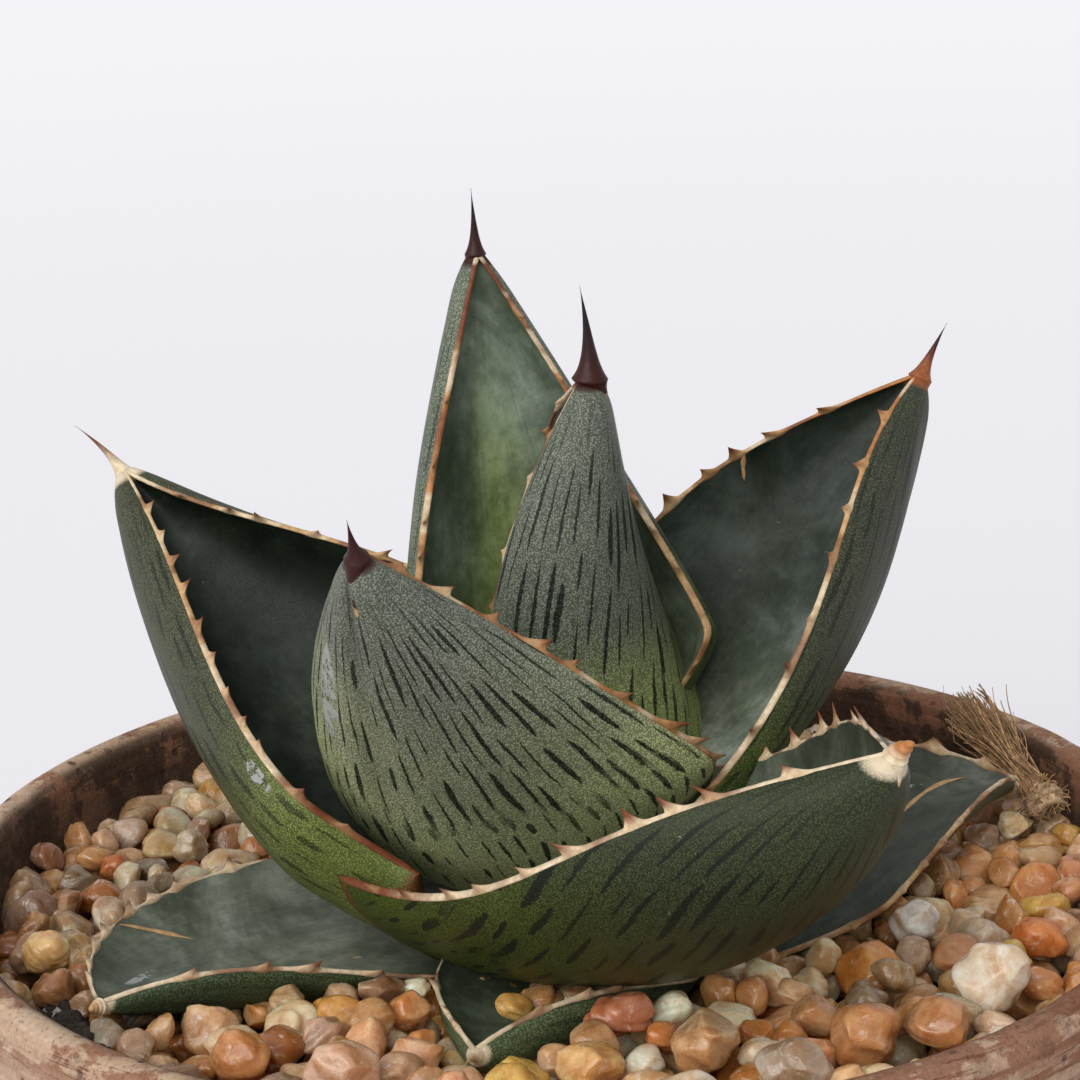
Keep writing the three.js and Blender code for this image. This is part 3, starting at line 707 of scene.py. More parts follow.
def quartz(name):
    """Water-worn quartz: cloudy, veined and a little translucent."""
    look = Finish(name)
    tint = look.colour("tint")
    cloud = look.noise(170, 4.0, 0.66, warp=0.8)
    vein = look.noise(430, 5.0, 0.7, warp=1.2)
    body = look.shades(look.range(cloud, 0.35, 0.68), tint, (0.85, 0.64, 0.44),
                       (1.22, 1.24, 1.24))
    body = look.dyed(look.range(vein, 0.57, 0.64, 0.0, 0.5), body, (0.72, 0.52, 0.38))
    body = look.mix(look.range(vein, 0.41, 0.34, 0.0, 0.4), body, (0.82, 0.76, 0.68))
    rough = look.range(look.noise(700, 3.0, 0.6), 0.3, 0.7, 0.12, 0.32)
    normal = look.bump(look.noise(330, 4.0, 0.6), 0.0008, 0.45)
    normal = look.bump(look.noise(1400, 3.0, 0.6), 0.00012, 0.35, normal)
    material = look.finish(body, rough, normal, Specular_IOR_Level=0.55,
                           Subsurface_Weight=0.65, Subsurface_Scale=0.0040)
    look.surface.inputs["Subsurface Radius"].default_value = (1.0, 0.60, 0.34)
    return material


def stoneware(name):
    """Unglazed clay with a worn pale slip, turning lines and iron specks."""
    pot = bpy.context.scene.agave_pot
    look = Finish(name)
    lines = look.noise(1.0, 4.0, 0.65, look.scaled(look.place, (28.0, 28.0, 620.0)))
    fine = look.noise(1.0, 3.0, 0.6, look.scaled(look.place, (60.0, 60.0, 2100.0)))
    worn = look.noise(75, 6.0, 0.70, warp=0.3)
    grit = look.noise(1300, 3.0, 0.65)
    inside = look.value("inside")
    slip, clay, speck = tuple(pot.slip), tuple(pot.clay), tuple(pot.speck)
    body = look.shades(look.range(lines, 0.30, 0.72), slip, (0.84, 0.78, 0.74),
                       (1.12, 1.14, 1.16))
    inner = look.mix(look.range(worn, 0.38, 0.64), (0.060, 0.033, 0.019), (0.150, 0.086, 0.052))
    body = look.mix(inside, body, inner)
    wear = look.range(look.plus(worn, look.times(lines, 0.35)), 0.65, 0.71)
    wear = look.times(wear, look.plus(0.20, look.times(look.value("rim"), 0.70)))
    body = look.mix(wear, body, look.mix(look.noise(600, 3.0, 0.6), clay, (0.33, 0.16, 0.095)))
    strokes = look.noise(1.0, 4.0, 0.68, look.scaled(look.place, (20.0, 20.0, 420.0)))
    patches = look.plus(look.times(worn, 0.35), look.times(strokes, 0.65))
    patches = look.range(patches, 0.445, 0.500)
    ruddy = look.times(look.value("ruddy"), look.range(patches, 0, 1, 1.0, 0.12))
    body = look.mix(ruddy, body, look.mix(worn, (0.20, 0.078, 0.040), (0.34, 0.165, 0.10)))
    scratch = look.noise(1.0, 5.0, 0.7, look.scaled(look.place, (55.0, 55.0, 900.0)))
    scratch = look.times(look.range(scratch, 0.56, 0.62), look.range(worn, 0.40, 0.54))
    scratch = look.times(scratch, look.range(inside, 0, 1, 0.9, 0.3))
    body = look.mix(scratch, body, (0.16, 0.060, 0.034))
    spots = look.plus(look.cells(250), look.times(look.noise(800), 0.40))
    speckle = look.range(look.noise(110, 3.0), 0.38, 0.58)
    speckle = look.times(look.range(spots, 0.42, 0.32), speckle)
    body = look.mix(look.times(speckle, 0.85), body, speck)
    blots = look.plus(look.cells(120), look.times(look.noise(500, 3.0), 0.35))
    blots = look.range(blots, 0.40, 0.34)
    body = look.mix(look.times(blots, look.range(inside, 0, 1, 0.25, 0.85)), body, speck)
    pits = look.range(look.cells(1000), 0.22, 0.12)
    body = look.mix(look.times(pits, 0.35), body, (0.12, 0.055, 0.035))
    body = look.dyed(look.range(grit, 0.3, 0.7, 0.0, 0.6), body, (0.66, 0.62, 0.60))
    normal = look.bump(lines, 0.0005, 0.5)
    normal = look.bump(fine, 0.0002, 0.4, normal)
    normal = look.bump(grit, 0.00030, 0.7, normal)
    sunk = look.times(look.math("MAXIMUM", speckle, pits), -1.0)
    normal = look.bump(sunk, 0.0004, 0.6, normal)
    return look.finish(body, look.range(grit, 0.2, 0.8, 0.78, 0.95), normal,
                       Specular_IOR_Level=0.28)


def humus(name):
    """Dark damp potting mix with pale mineral grains."""
    look = Finish(name)
    lump = look.noise(420, 6.0, 0.7)
    crumb = look.cells(620)
    body = look.mix(look.range(lump, 0.3, 0.7), (0.016, 0.012, 0.009), (0.075, 0.052, 0.036))
    grains = look.range(look.cells(480), 0.20, 0.15)
    grains = look.times(grains, look.range(look.noise(140, 2.0), 0.52, 0.60))
    body = look.mix(grains, body, (0.55, 0.52, 0.47))
    body = look.mix(look.value("pale"), body, (0.58, 0.56, 0.52))
    normal = look.bump(lump, 0.0016, 0.9)
    normal = look.bump(crumb, 0.0008, 0.7, normal)
    return look.finish(body, look.range(crumb, 0.0, 0.6, 0.70, 0.97), normal)


def bast(name):
    """Dry jute fibre."""
    look = Finish(name)
    tint = look.colour("tint")
    grain = look.noise(900, 3.0, 0.6)
    shade = look.shades(look.range(grain, 0.3, 0.7), tint, (0.55, 0.50, 0.45), (1.3, 1.3, 1.25))
    return look.finish(shade, 0.85, look.bump(grain, 0.0001, 0.5), Sheen_Weight=0.10,
                       Sheen_Roughness=0.5)


def bark(name):
    """Brown stem skin with old leaf scars."""
    look = Finish(name)
    bands = look.noise(1.0, 4.0, 0.6, look.scaled(look.place, (60.0, 60.0, 420.0)))
    grain = look.noise(700, 4.0, 0.65)
    body = look.mix(look.range(bands, 0.35, 0.65), (0.13, 0.085, 0.045), (0.36, 0.28, 0.16))
    body = look.mix(look.range(grain, 0.4, 0.7, 0.0, 0.5), body, (0.07, 0.045, 0.025))
    normal = look.bump(bands, 0.0008, 0.7)
    return look.finish(body, 0.85, look.bump(grain, 0.0003, 0.6, normal))


def paper(name):
    """Pale studio floor, made brighter away from the bowl as painted light."""
    stage = bpy.context.scene.agave_stage
    look = Finish(name)
    tone = tuple(stage.floor_colour)
    away = look.node("ShaderNodeVectorMath", operation="LENGTH")
    look.feed(away.inputs[0], look.place)
    # Painted light: the floor grows brighter away from the bowl.
    shade = look.mix(look.range(away.outputs["Value"], 0.25, 1.8), tone,
                     look.tinted((*tone, 1.0), (1.09, 1.09, 1.09)))
    return look.finish(shade, 0.9, Specular_IOR_Level=0.1)


# ---- leaves ----------------------------------------------------------------------------


def midrib(leaf, steps):
    """Stations along a leaf: share of length, place, and directions along, side and top."""
    s = np.linspace(0, 1, steps + 1)
    heading = np.radians(leaf["heading"] + leaf["turn"] * s)
    first, last, power = leaf["rise"]
    rise = np.radians(first + (last - first) * s ** power)[:, None]
    twist = np.radians(leaf["twist"][0] + (leaf["twist"][1] - leaf["twist"][0]) * s)[:, None]
    out = np.stack([np.sin(heading), -np.cos(heading), 0 * s], -1)
    along = np.cos(rise) * out + np.sin(rise) * UP
    upright = -np.sin(rise) * out + np.cos(rise) * UP
    level = np.cross(upright, along)
    side = level * np.cos(twist) + upright * np.sin(twist)
    top = upright * np.cos(twist) - level * np.sin(twist)
    step = leaf["length"] / steps
    place = np.zeros((steps + 1, 3))
    place[0] = leaf["base"]
    place[1:] = place[0] + np.cumsum((along[1:] + along[:-1]) / 2 * step, axis=0)
    return s, place, along, side, top


def outline(leaf, s):
    """Share of the full width at each station."""
    share, widest, taper = leaf["outline"]
    swell = share + (1 - share) * ease(s, 0, widest)
    fall = 1 - np.clip((s - widest) / (1 - widest), 0, 1) ** taper
    return np.where(s < widest, swell, fall)


def teeth_of(leaf, seed, side, length, spacing):
    """Places, heights, widths and hooks of the teeth along one margin."""
    rng = np.random.default_rng([seed, side])
    places, at = [], length * rng.uniform(0.10, 0.15)
    while at < length * 0.93:
        places.append(at)
        at += spacing * rng.uniform(0.62, 1.45)
    places = np.array(places)
    share = places / length
    height = leaf["teeth"] * rng.uniform(0.5, 1.15, len(places))
    height = height * blend(0.75, 1.0, ease(share, 0, 0.3))
    height = height * blend(1.0, 0.55, ease(share, 0.75, 0.95))
    width = rng.uniform(1.1, 2.2, len(places))
    hook = rng.uniform(-0.9, 0.7, len(places))
    return places, height, width, hook


class Blade:
    """One leaf's surface: its stations, its sections and its margins."""

    def __init__(self, name, settings):
        self.leaf = LEAVES[name]
        self.seed = settings.seed + 31 * list(LEAVES).index(name)
        self.settings = settings
        steps = settings.stations
        self.s, self.place, self.along, self.side, self.top = midrib(self.leaf, steps)
        self.width = outline(self.leaf, self.s)

    def section(self, u):
        """Skin points, their under-face directions and the thickness for columns u."""
        leaf, s = self.leaf, self.s[:, None]
        half = np.where(u < 0, leaf["half"][0], leaf["half"][1])
        cup = np.where(u < 0, leaf["cup"][0], leaf["cup"][1])
        cup = np.radians(cup + (leaf["cup"][2] - cup) * s ** 2)
        radius = half * self.width[:, None] / cup
        angle = cup * u
        across = self.side[:, None]
        top = self.top[:, None]
        skin = (self.place[:, None] + across * (radius * np.sin(angle))[..., None]
                + top * (radius * (1 - np.cos(angle)))[..., None])
        under = across * np.sin(angle)[..., None] - top * np.cos(angle)[..., None]
        outward = across * np.cos(angle)[..., None] + top * np.sin(angle)[..., None]
        thick = leaf["thick"] * (1 - MARGIN_THIN * u ** 2)
        thick = thick * (1 + (TIP_THICKNESS - 1) * s ** 3)
        edge = np.sqrt(np.clip(1 - 0.78 * np.clip((np.abs(u) - 0.84) / 0.16, 0, 1) ** 2, 0, 1))
        last = np.sqrt(np.clip(1 - 0.62 * np.clip((s - 0.93) / 0.07, 0, 1) ** 2, 0, 1))
        return skin, under, outward, thick * edge * last

    def blade_shape(self):
        """The leaf's flesh, with the values that its skin's colours follow."""
        leaf = self.leaf
        columns = self.settings.columns
        u = np.sin(np.linspace(-np.pi / 2, np.pi / 2, columns))[None, :]
        skin, under, _, thick = self.section(u)
        s = self.s[:, None]
        x = u * max(leaf["half"])
        y = s * leaf["length"]
        calm = (1 - np.abs(u) ** 4) * ease(s, 0, 0.15) * ease(-s, -1.0, -0.9)
        swell = 0.35 * waves(self.seed, x * 0.5, y * 0.16, 6.0) * calm
        ridges = 0.10 * waves(self.seed + 1, x, y * 0.05, 3.4, 9) * calm
        dent = 0.95 * calm * self.crease(u, s)
        upper = skin - under * (0.4 * swell + 0.3 * ridges)[..., None]
        lower = skin + under * (thick + swell * 0.6 + ridges - dent)[..., None]
        rings = np.concatenate([upper, lower[:, ::-1]], axis=1)
        columns_u = np.concatenate([u, u[:, ::-1]], axis=1)
        u_all = np.broadcast_to(columns_u, rings.shape[:2])
        s_all = np.broadcast_to(s, rings.shape[:2])
        is_upper = np.zeros(rings.shape[:2])
        is_upper[:, :columns] = 1
        tone = self.tones(u_all, s_all, is_upper)
        pitch = sum(leaf["half"]) / 2 / leaf.get("pitch", DASH_PITCH)
        flow = np.stack([
            (u_all - leaf["skew"] * (1 - s_all)) * pitch + self.seed * 1.37,
            s_all * leaf["length"] / DASH_RUN + self.seed * 0.71, 0 * u_all], -1)
        rows, count = rings.shape[:2]
        shape = Shape()
        shape.add(rings, capped(rows, count), tone=tone.reshape(-1, 3), flow=flow.reshape(-1, 3),
                  upper=is_upper.ravel(), base=s_all.ravel(),
                  scar=self.scars(u_all, s_all).ravel(),
                  tip_horn=ease(s_all, 0.976, 0.986).ravel(),
                  dashes=np.full(rings.shape[0] * count, leaf["dashes"]))
        return shape

    def tones(self, u, s, is_upper):
        """The skin's colour at each point."""
        leaf = self.leaf
        drift = 0.10 * waves(self.seed + 5, u * 20, s * 60, 30.0)
        # The under face is lighter towards its base, partly a paler base and partly painted light.
        root = ease(-(s + drift), -leaf.get("reach", 0.55), -0.02)
        under = blend(leaf["under"], leaf["root"], root)
        stripe = np.exp(-((u + 0.05 * np.sin(5 * s)) / 0.30) ** 2) * ease(-s, -0.95, -0.3)
        upper = blend(leaf["upper"], leaf["stripe"], stripe)
        # Painted sheen: a lighter band across the upper face, standing in for a highlight.
        if "painted_sheen" in leaf:
            across, colour = leaf["painted_sheen"]
            band = np.exp(-((u - across) / 0.32) ** 2)
            upper = blend(upper, colour, band * ease(s, 0.05, 0.3) * ease(-s, -0.97, -0.8))
        # The upper face is lighter towards its base, partly a paler base and partly painted light.
        upper = blend(upper, leaf["pale_base_and_light"],
                      ease(-(s + drift), -0.62, -0.15) * np.exp(-(u / 0.6) ** 2))
        # Painted shade: the under face is darker along the fold.
        under = under * (1 - 0.35 * self.crease(u, s))[..., None]
        tone = blend(blend(under, upper, is_upper), RUST, 0.8 * ease(-s, -0.025, -0.008))
        return blend(tone, leaf["spine_tint"][0], ease(s, 0.976, 0.986))

    def crease(self, u, s):
        """How deep the lengthwise fold of the under face is, from 0 to 1."""
        line = u + 0.13 + 0.12 * (1 - s)
        return self.leaf.get("fold", 0.0) * np.exp(-(line / 0.05) ** 2) * ease(s, 0.15, 0.5)

    def scars(self, u, s):
        """How chalky the skin is at each point, from 0 to 1."""
        total = np.zeros(u.shape)
        for across, station, size in self.leaf["scars"]:
            reach = ((u - across) / (0.9 * size)) ** 2 + ((s - station) / (1.7 * size)) ** 2
            total = np.maximum(total, np.exp(-reach))
        return total

    def tint_along(self, share):
        """The horn's colour along a margin."""
        stations = [station for station, _ in self.leaf["margin"]]
        colours = np.array([colour for _, colour in self.leaf["margin"]])
        return np.stack([np.interp(share, stations, colours[:, k]) for k in range(3)], -1)

    def margin(self, shape, side):
        """Adds one horny margin with its teeth: side is -1 for the left, 1 for the right."""
        edge = self.section(np.array([[float(side)]]))
        skin, under, outward, thick = (part[:, 0] for part in edge)
        outward = outward * side
        centre = skin + under * (thick / 2)[:, None]
        length = np.concatenate([[0], np.cumsum(np.linalg.norm(np.diff(centre, axis=0), axis=1))])
        total = length[-1]
        spacing = self.settings.tooth_spacing / MM
        places, heights, widths, hooks = teeth_of(self.leaf, self.seed, side + 2, total, spacing)
        near = np.array([0, 0.08, 0.18, 0.32, 0.5, 0.72, 1.0, 1.35, 1.8, 2.4])
        near = np.concatenate([-near[1:], near])
        at = np.concatenate([np.arange(0, total, 0.55), (places[:, None] + near).ravel(), [total]])
        at = np.unique(np.clip(at, 0, total).round(2))

        def sample(values):
            return np.stack([np.interp(at, length, values[:, k]) for k in range(3)], -1)

        centre, outward, under = sample(centre), unit(sample(outward)), unit(sample(under))
        thick = np.interp(at, length, thick)
        along = unit(np.gradient(centre, axis=0))
        share = at / total
        rise = np.zeros(len(at))
        lean = np.zeros(len(at))
        flesh = np.zeros(len(at))
        for place, height, width, hook in zip(places, heights, widths, hooks):
            gap = np.abs(at - place) / width
            peak = height * np.clip(1 - gap, 0, 1) ** 1.7
            lean = np.where(peak > rise, peak * hook * 0.7, lean)
            rise = np.maximum(rise, peak)
            flesh = np.maximum(flesh, np.exp(-(gap / 1.1) ** 2))
        rough = 0.10 * waves(self.seed + side, at, 0 * at, 2.3, 5)
        radius = self.settings.margin_radius / MM * (1 + rough)
        radius = radius * (0.78 + 0.55 * flesh) * blend(1.0, 1.25, ease(share, 0.85, 1.0))
        closed = ease(share, 0, 0.035)
        radius = radius * blend(0.1, 1.0, closed)
        reach_in = np.maximum(thick * 0.5 * blend(0.2, 1.0, closed), radius)
        angle = np.pi - (np.arange(MARGIN_POINTS) + 0.5) * 2 * np.pi / MARGIN_POINTS
        cos, sin = np.cos(angle)[None], np.sin(angle)[None]
        point_out = np.clip(cos, 0, 1) ** 1.5
        far = radius[:, None] * cos * np.where(cos < 0, 1.3 + 0.9 * flesh[:, None], 1.0)
        far = far + rise[:, None] * point_out
        high = (reach_in[:, None] * 1.02 + 0.10) * sin * (1 - 0.75 * point_out * np.clip(
            rise[:, None] / 1.0, 0, 1))
        rings = (centre[:, None] + outward[:, None] * far[..., None]
                 - under[:, None] * high[..., None]
                 + along[:, None] * (lean[:, None] * point_out)[..., None])
        shift = waves(self.seed + 3 * side, at, 0 * at, 11.0, 5)
        fresh = ease(shift, 0.15, 0.55) * 0.8 * ease(share, 0.15, 0.3)
        tint = blend(self.tint_along(share), CREAM, fresh)
        tint = blend(tint, RUST, ease(-shift, 0.10, 0.50) * 0.75)
        tint = blend(tint, TAN, flesh * 0.5)[:, None] + 0 * rings
        tint = blend(tint, RUST, ease((far - radius[:, None]) / 1.5, 0.2, 1.0))
        faces = grid(len(at), MARGIN_POINTS)
        if side > 0:
            faces = faces[:, ::-1]
        shape.add(rings, faces, tint=tint.reshape(-1, 3))

    def spine(self, shape):
        """Adds the end spine, which runs down the under face in a short dark wedge."""
        leaf = self.leaf
        length, yaw, pitch = leaf["spine"]
        girth = leaf["girth"] * self.settings.spine_girth
        skin, under, _, thick = (part[:, 0] for part in self.section(np.array([[0.0]])))
        along, side, top = self.along[-1], self.side[-1], self.top[-1]
        direction = along + side * math.tan(math.radians(yaw))
        direction = unit(direction + top * math.tan(math.radians(pitch)))
        tip = self.place[-1] + direction * (length - 0.02)
        root = skin[-1] + under[-1] * thick[-1] / 2
        t = np.linspace(0, 1, 36)
        ahead = bezier(root, root + along * length * 0.4, tip, t)
        radii = 0.58 * (1 - t) ** 1.2 + 0.42 * np.exp(-5 * t) * (1 - t)
        if leaf["blunt"]:
            radii = (1 - t) ** 0.5 * (1 + 0.10 * np.sin(23 * t))
        back = np.linspace(-1, 0, 14)[:-1]
        station = 1 + back * leaf["wedge"] / leaf["length"]
        swell = (1 + back) ** 0.6
        depth = np.interp(station, self.s, thick)
        sunk = depth / 2 + (depth / 2 - 0.55 * girth * swell) * -back
        behind = np.stack([np.interp(station, self.s, skin[:, k] + 0 * thick)
                           for k in range(3)], -1) + under[-1] * sunk[:, None]
        centres = np.concatenate([behind, ahead])
        radii = np.maximum(girth * np.concatenate([swell, radii]), 0.035)
        count = 20
        rings = ring_points(centres, np.tile(side, (len(centres), 1)),
                            np.tile(top, (len(centres), 1)), radii, count)
        start, end = leaf["spine_tint"]
        tint = np.concatenate([
            np.tile(start, (len(back), 1)), blend(start, end, ease(t, 0.1, 0.7))])
        tint[:3] = TAN
        shape.add(rings, capped(len(centres), count), tint=np.repeat(tint, count, axis=0))

    def cut(self, shape, start, end, width):
        """Adds a healed cut: a thin corky ridge on the upper face, from start to end."""
        t = np.linspace(0, 1, 24)
        route = []
        for share in t:
            u, station = np.array(start) + (np.array(end) - np.array(start)) * share
            skin = self.section(np.array([[u]]))[0][:, 0]
            route.append([np.interp(station, self.s, skin[:, k]) for k in range(3)])
        route = np.array(route)
        side, top = across_route(route)
        radii = 0.05 + width * np.sin(np.pi * t) ** 0.8 * (0.8 + 0.2 * np.sin(11 * t))
        rings = ring_points(route, side, top * 0.45, radii, 8)
        shape.add(rings, capped(len(route), 8), tint=np.array(TAN))


class AGAVE_OT_leaves(bpy.types.Operator):
    """Builds every leaf: a fleshy blade, and its horny margins, teeth and spine"""

    bl_idname = "agave.leaves"
    bl_label = "Leaves"

    def execute(self, context):
        settings = context.scene.agave_leaves
        skin = shared("Mealy leaf skin", leaf_skin)
        armour = shared("Leaf horn", horn)
        for name in LEAVES:
            blade = Blade(name, settings)
            settle(blade.blade_shape().build(name + "_blade", skin), "leaf", name)
            edge = Shape()
            blade.margin(edge, -1)
            blade.margin(edge, 1)
            blade.spine(edge)
            for leaf_name, *cut in CUTS:
                if leaf_name == name:
                    blade.cut(edge, *cut)
            settle(edge.build(name + "_armour", armour), "horn", name)
        return {"FINISHED"}


# ---- stones ----------------------------------------------------------------------------


def ball(subdivisions):
    """Points and triangles of a unit sphere."""
    work = bmesh.new()
    bmesh.ops.create_icosphere(work, subdivisions=subdivisions, radius=1.0)
    points = np.array([vertex.co[:] for vertex in work.verts])
    faces = np.array([[vertex.index for vertex in face.verts] for face in work.faces])
    work.free()
    return points, faces


def worn(points, rng, flats=7):
    """A sphere's points worn into a rounded stone with a few soft flats."""
    shape = points.copy()
    for _ in range(3):
        axis = unit(rng.normal(size=3))
        shape = shape * (1 + 0.07 * np.sin(2.3 * (points @ axis) + rng.uniform(0, 6)))[:, None]
    for _ in range(flats):
        axis = unit(rng.normal(size=3))
        depth = rng.uniform(0.60, 0.92)
        over = shape @ axis - depth
        shape = shape - (np.maximum(over, 0) * 0.76)[:, None] * axis
    for size, depth in ((1.8, 0.135), (0.8, 0.048)):
        bumps = waves(int(rng.integers(1e6)), points[:, 0] + points[:, 2], points[:, 1]
                      - points[:, 2], size, 7)
        shape = shape * (1 + depth * bumps)[:, None]
    return shape / np.linalg.norm(shape, axis=1).mean()


def turn_matrix(rng, flatness):
    """A random turn about the vertical with a small random tilt."""
    spin = Matrix.Rotation(rng.uniform(0, 2 * math.pi), 3, "Z")
    lean = Matrix.Rotation(rng.normal(0, flatness), 3, "X")
    roll = Matrix.Rotation(rng.normal(0, flatness), 3, "Y")
    return np.array(spin @ lean @ roll)


def pile(settings, held, leaf_tree, leaf_spots):
    """Drops stones into the bowl one by one; returns their centres and radii."""
    rng = np.random.default_rng(settings.seed)
    centres = np.array([place for place, _ in held], float)
    radii = np.array([radius for _, radius in held], float)
    fixed = len(held)
    mean, spread = settings.radius / MM, settings.spread / MM
    for _ in range(settings.tries):
        radius = float(np.clip(rng.normal(mean, spread), 2.0, 4.9))
        reach = bowl_radius(GRAVEL_TOP) - WALL - radius * 0.92
        out = reach * np.sqrt(rng.random(PLACES_TRIED))
        angle = rng.uniform(0, 2 * np.pi, PLACES_TRIED)
        spots = np.stack([out * np.cos(angle), out * np.sin(angle)], -1)
        gap = ((spots[:, None] - centres[None, :, :2]) ** 2).sum(2)
        span = ((radius + radii) * CLOSENESS)[None] ** 2
        climb = np.where(gap < span, centres[None, :, 2] + np.sqrt(np.maximum(span - gap, 0)), 0)
        height = np.maximum(climb.max(1), soil_height(spots[:, 0], spots[:, 1]) + radius * 0.7)
        order = np.argsort(height)
        for k in order[:4]:
            if height[k] + radius * 0.75 > GRAVEL_TOP + HEAP or bare_soil(*spots[k]) > 0.5:
                break
            centre = Vector((*spots[k], height[k]))
            if leaf_tree.find(centre)[2] < radius * 0.86 or covers(centre, radius, leaf_spots):
                continue
            centres = np.vstack([centres, centre])
            radii = np.append(radii, radius)
            break
    return centres[fixed:], radii[fixed:]


def covers(centre, radius, spots):
    """Whether a stone would lie on top of a leaf."""
    gap = ((spots[:, :2] - centre[:2]) ** 2).sum(1)
    return bool(np.any((gap < (0.7 * radius) ** 2) & (spots[:, 2] < centre[2] + 0.5 * radius)))


def pick_tints(rng, count):
    """A colour for each of count stones."""
    shares = np.array([share for share, _ in QUARTZ])
    colours = np.array([colour for _, colour in QUARTZ])
    tints = colours[rng.choice(len(colours), count, p=shares / shares.sum())]
    shade = rng.uniform(0.72, 1.22, (count, 1))
    return np.clip(tints * shade * rng.uniform(0.93, 1.07, (count, 3)), 0, 0.9)


class AGAVE_OT_gravel(bpy.types.Operator):
    """Pours the quartz gravel round the leaves and lays the larger stones on top"""

    bl_idname = "agave.gravel"
    bl_label = "Gravel"

    def execute(self, context):
        settings = context.scene.agave_gravel
        material = shared("Worn quartz", quartz)
        held = self.loose_stones(material)
        tree, spots = self.leaf_points()
        centres, radii = pile(settings, held, tree, spots)
        rng = np.random.default_rng(settings.seed + 1)
        tints = pick_tints(rng, len(centres))
        # Painted shade: stones towards the left and the right wall are darker, and all others a
        # little brighter as painted light.
        tints = tints * blend(1.08, 0.64, ease(-centres[:, 0], 25, 60))[:, None]
        tints = tints * blend(1.0, 0.86, ease(centres[:, 0], 35, 60))[:, None]
        # Painted light: the stones nearest the front are brighter, most of all in blue.
        tints = tints * blend(1.0, FRONT_PAINTED_LIGHT, ease(-centres[:, 1], 40, 65))
        fine, coarse = ball(4), ball(3)
        moulds = [[worn(points, np.random.default_rng(k)) for points in (fine[0], coarse[0])]
                  for k in range(MOULDS)]
        groups = {}
        for i in np.argsort(-centres[:, 1]):
            centre, radius = centres[i], radii[i]
            is_near = centre[1] < NEAR_SIDE and centre[2] + radius > GRAVEL_TOP - 1.5
            mould = moulds[rng.integers(len(moulds))][0 if is_near else 1]
            axes = np.array([1.16, 0.97, 0.80]) * rng.uniform(0.90, 1.12, 3)
            points = (mould * axes * radius) @ turn_matrix(rng, 0.5).T + centre
            faces = fine[1] if is_near else coarse[1]
            band = self.band(centre) if is_near else "gravel_rear"
            shape = groups.setdefault(band, Shape())
            shape.add(points, faces, tint=tints[i])
        for name, shape in groups.items():
            settle(shape.build(name, material), "gravel", "gravel_layer")
        return {"FINISHED"}

    @staticmethod
    def band(centre):
        """Name of the piece that a stone near the front belongs to."""
        side = "middle"
        if abs(centre[0]) > BAND_SIDE:
            side = "left" if centre[0] < 0 else "right"
        return "gravel_" + side + ("_front" if centre[1] < BAND_FRONT else "")

    @staticmethod
    def loose_stones(material):
        """Lays the larger stones; returns their places and mean radii."""
        held = []
        points, faces = ball(5)
        for k, (name, (place, half, turn, tint)) in enumerate(STONES.items()):
            rng = np.random.default_rng(400 + k)
            shape = Shape()
            body = worn(points, rng, 6) * np.array(half) * 0.92
            body = body @ np.array(Matrix.Rotation(math.radians(turn), 3, "Z")).T
            centre = np.array([*place, GRAVEL_TOP + half[2] * (1 - STONE_SINK)])
            shape.add(body + centre, faces, tint=np.array(tint))
            slot = "pale_quartz" if name in PALE_STONES else "amber_quartz"
            settle(shape.build(name + "_worn", material), slot, name)
            held.append((centre, sum(half) / 3))
        return held

    @staticmethod
    def leaf_points():
        """A search tree of the leaves' points, and the points no stone may lie on."""
        spots, clear = [], []
        for piece in bpy.data.objects:
            if piece.name.endswith("_blade"):
                flat = np.empty(3 * len(piece.data.vertices), np.float32)
                piece.data.vertices.foreach_get("co", flat)
                spots.append(flat.reshape(-1, 3)[::2] / MM)
                if not piece.name.startswith("leaf_ground_front"):
                    clear.append(spots[-1])
        spots, clear = np.concatenate(spots), np.concatenate(clear)
        spots, clear = spots[spots[:, 2] < 75], clear[clear[:, 2] < 75]
        tree = KDTree(len(spots))
        for index, spot in enumerate(spots):
            tree.insert(spot, index)
        tree.balance()
        return tree, clear


# ---- bowl and soil ---------------------------------------------------------------------


def bowl_radius(height):
    """Radius of the bowl's outside at a height."""
    t = np.clip((np.asarray(height, float) - FOOT_HEIGHT) / (POT_HEIGHT - FOOT_HEIGHT), 0, 1)
    return FOOT_RADIUS + (RIM_RADIUS - FOOT_RADIUS) * np.sin(t * np.pi / 2) ** BOWL_SWELL


def bare_soil(x, y):
    """1 where the soil shows at the front left, inside the rim, and 0 elsewhere."""
    angle = np.degrees(np.arctan2(y, x)) % 360
    return ease(np.hypot(x, y), 74, 78) * ease(angle, 199, 203) * ease(-angle, -220, -214)


def soil_height(x, y):
    """Height of the soil's top, which is drawn up where it shows."""
    rough = 0.7 * waves(91, np.asarray(x, float), np.asarray(y, float), 9.0)
    return SOIL_TOP + 1.0 + rough * 0.6 + 6.0 * bare_soil(x, y)


def wall_profile(low, high, inset, steps):
    """Points up the wall, inset from its outside."""
    height = np.linspace(low, high, steps)
    return [(radius - inset, z) for radius, z in zip(bowl_radius(height), height)]


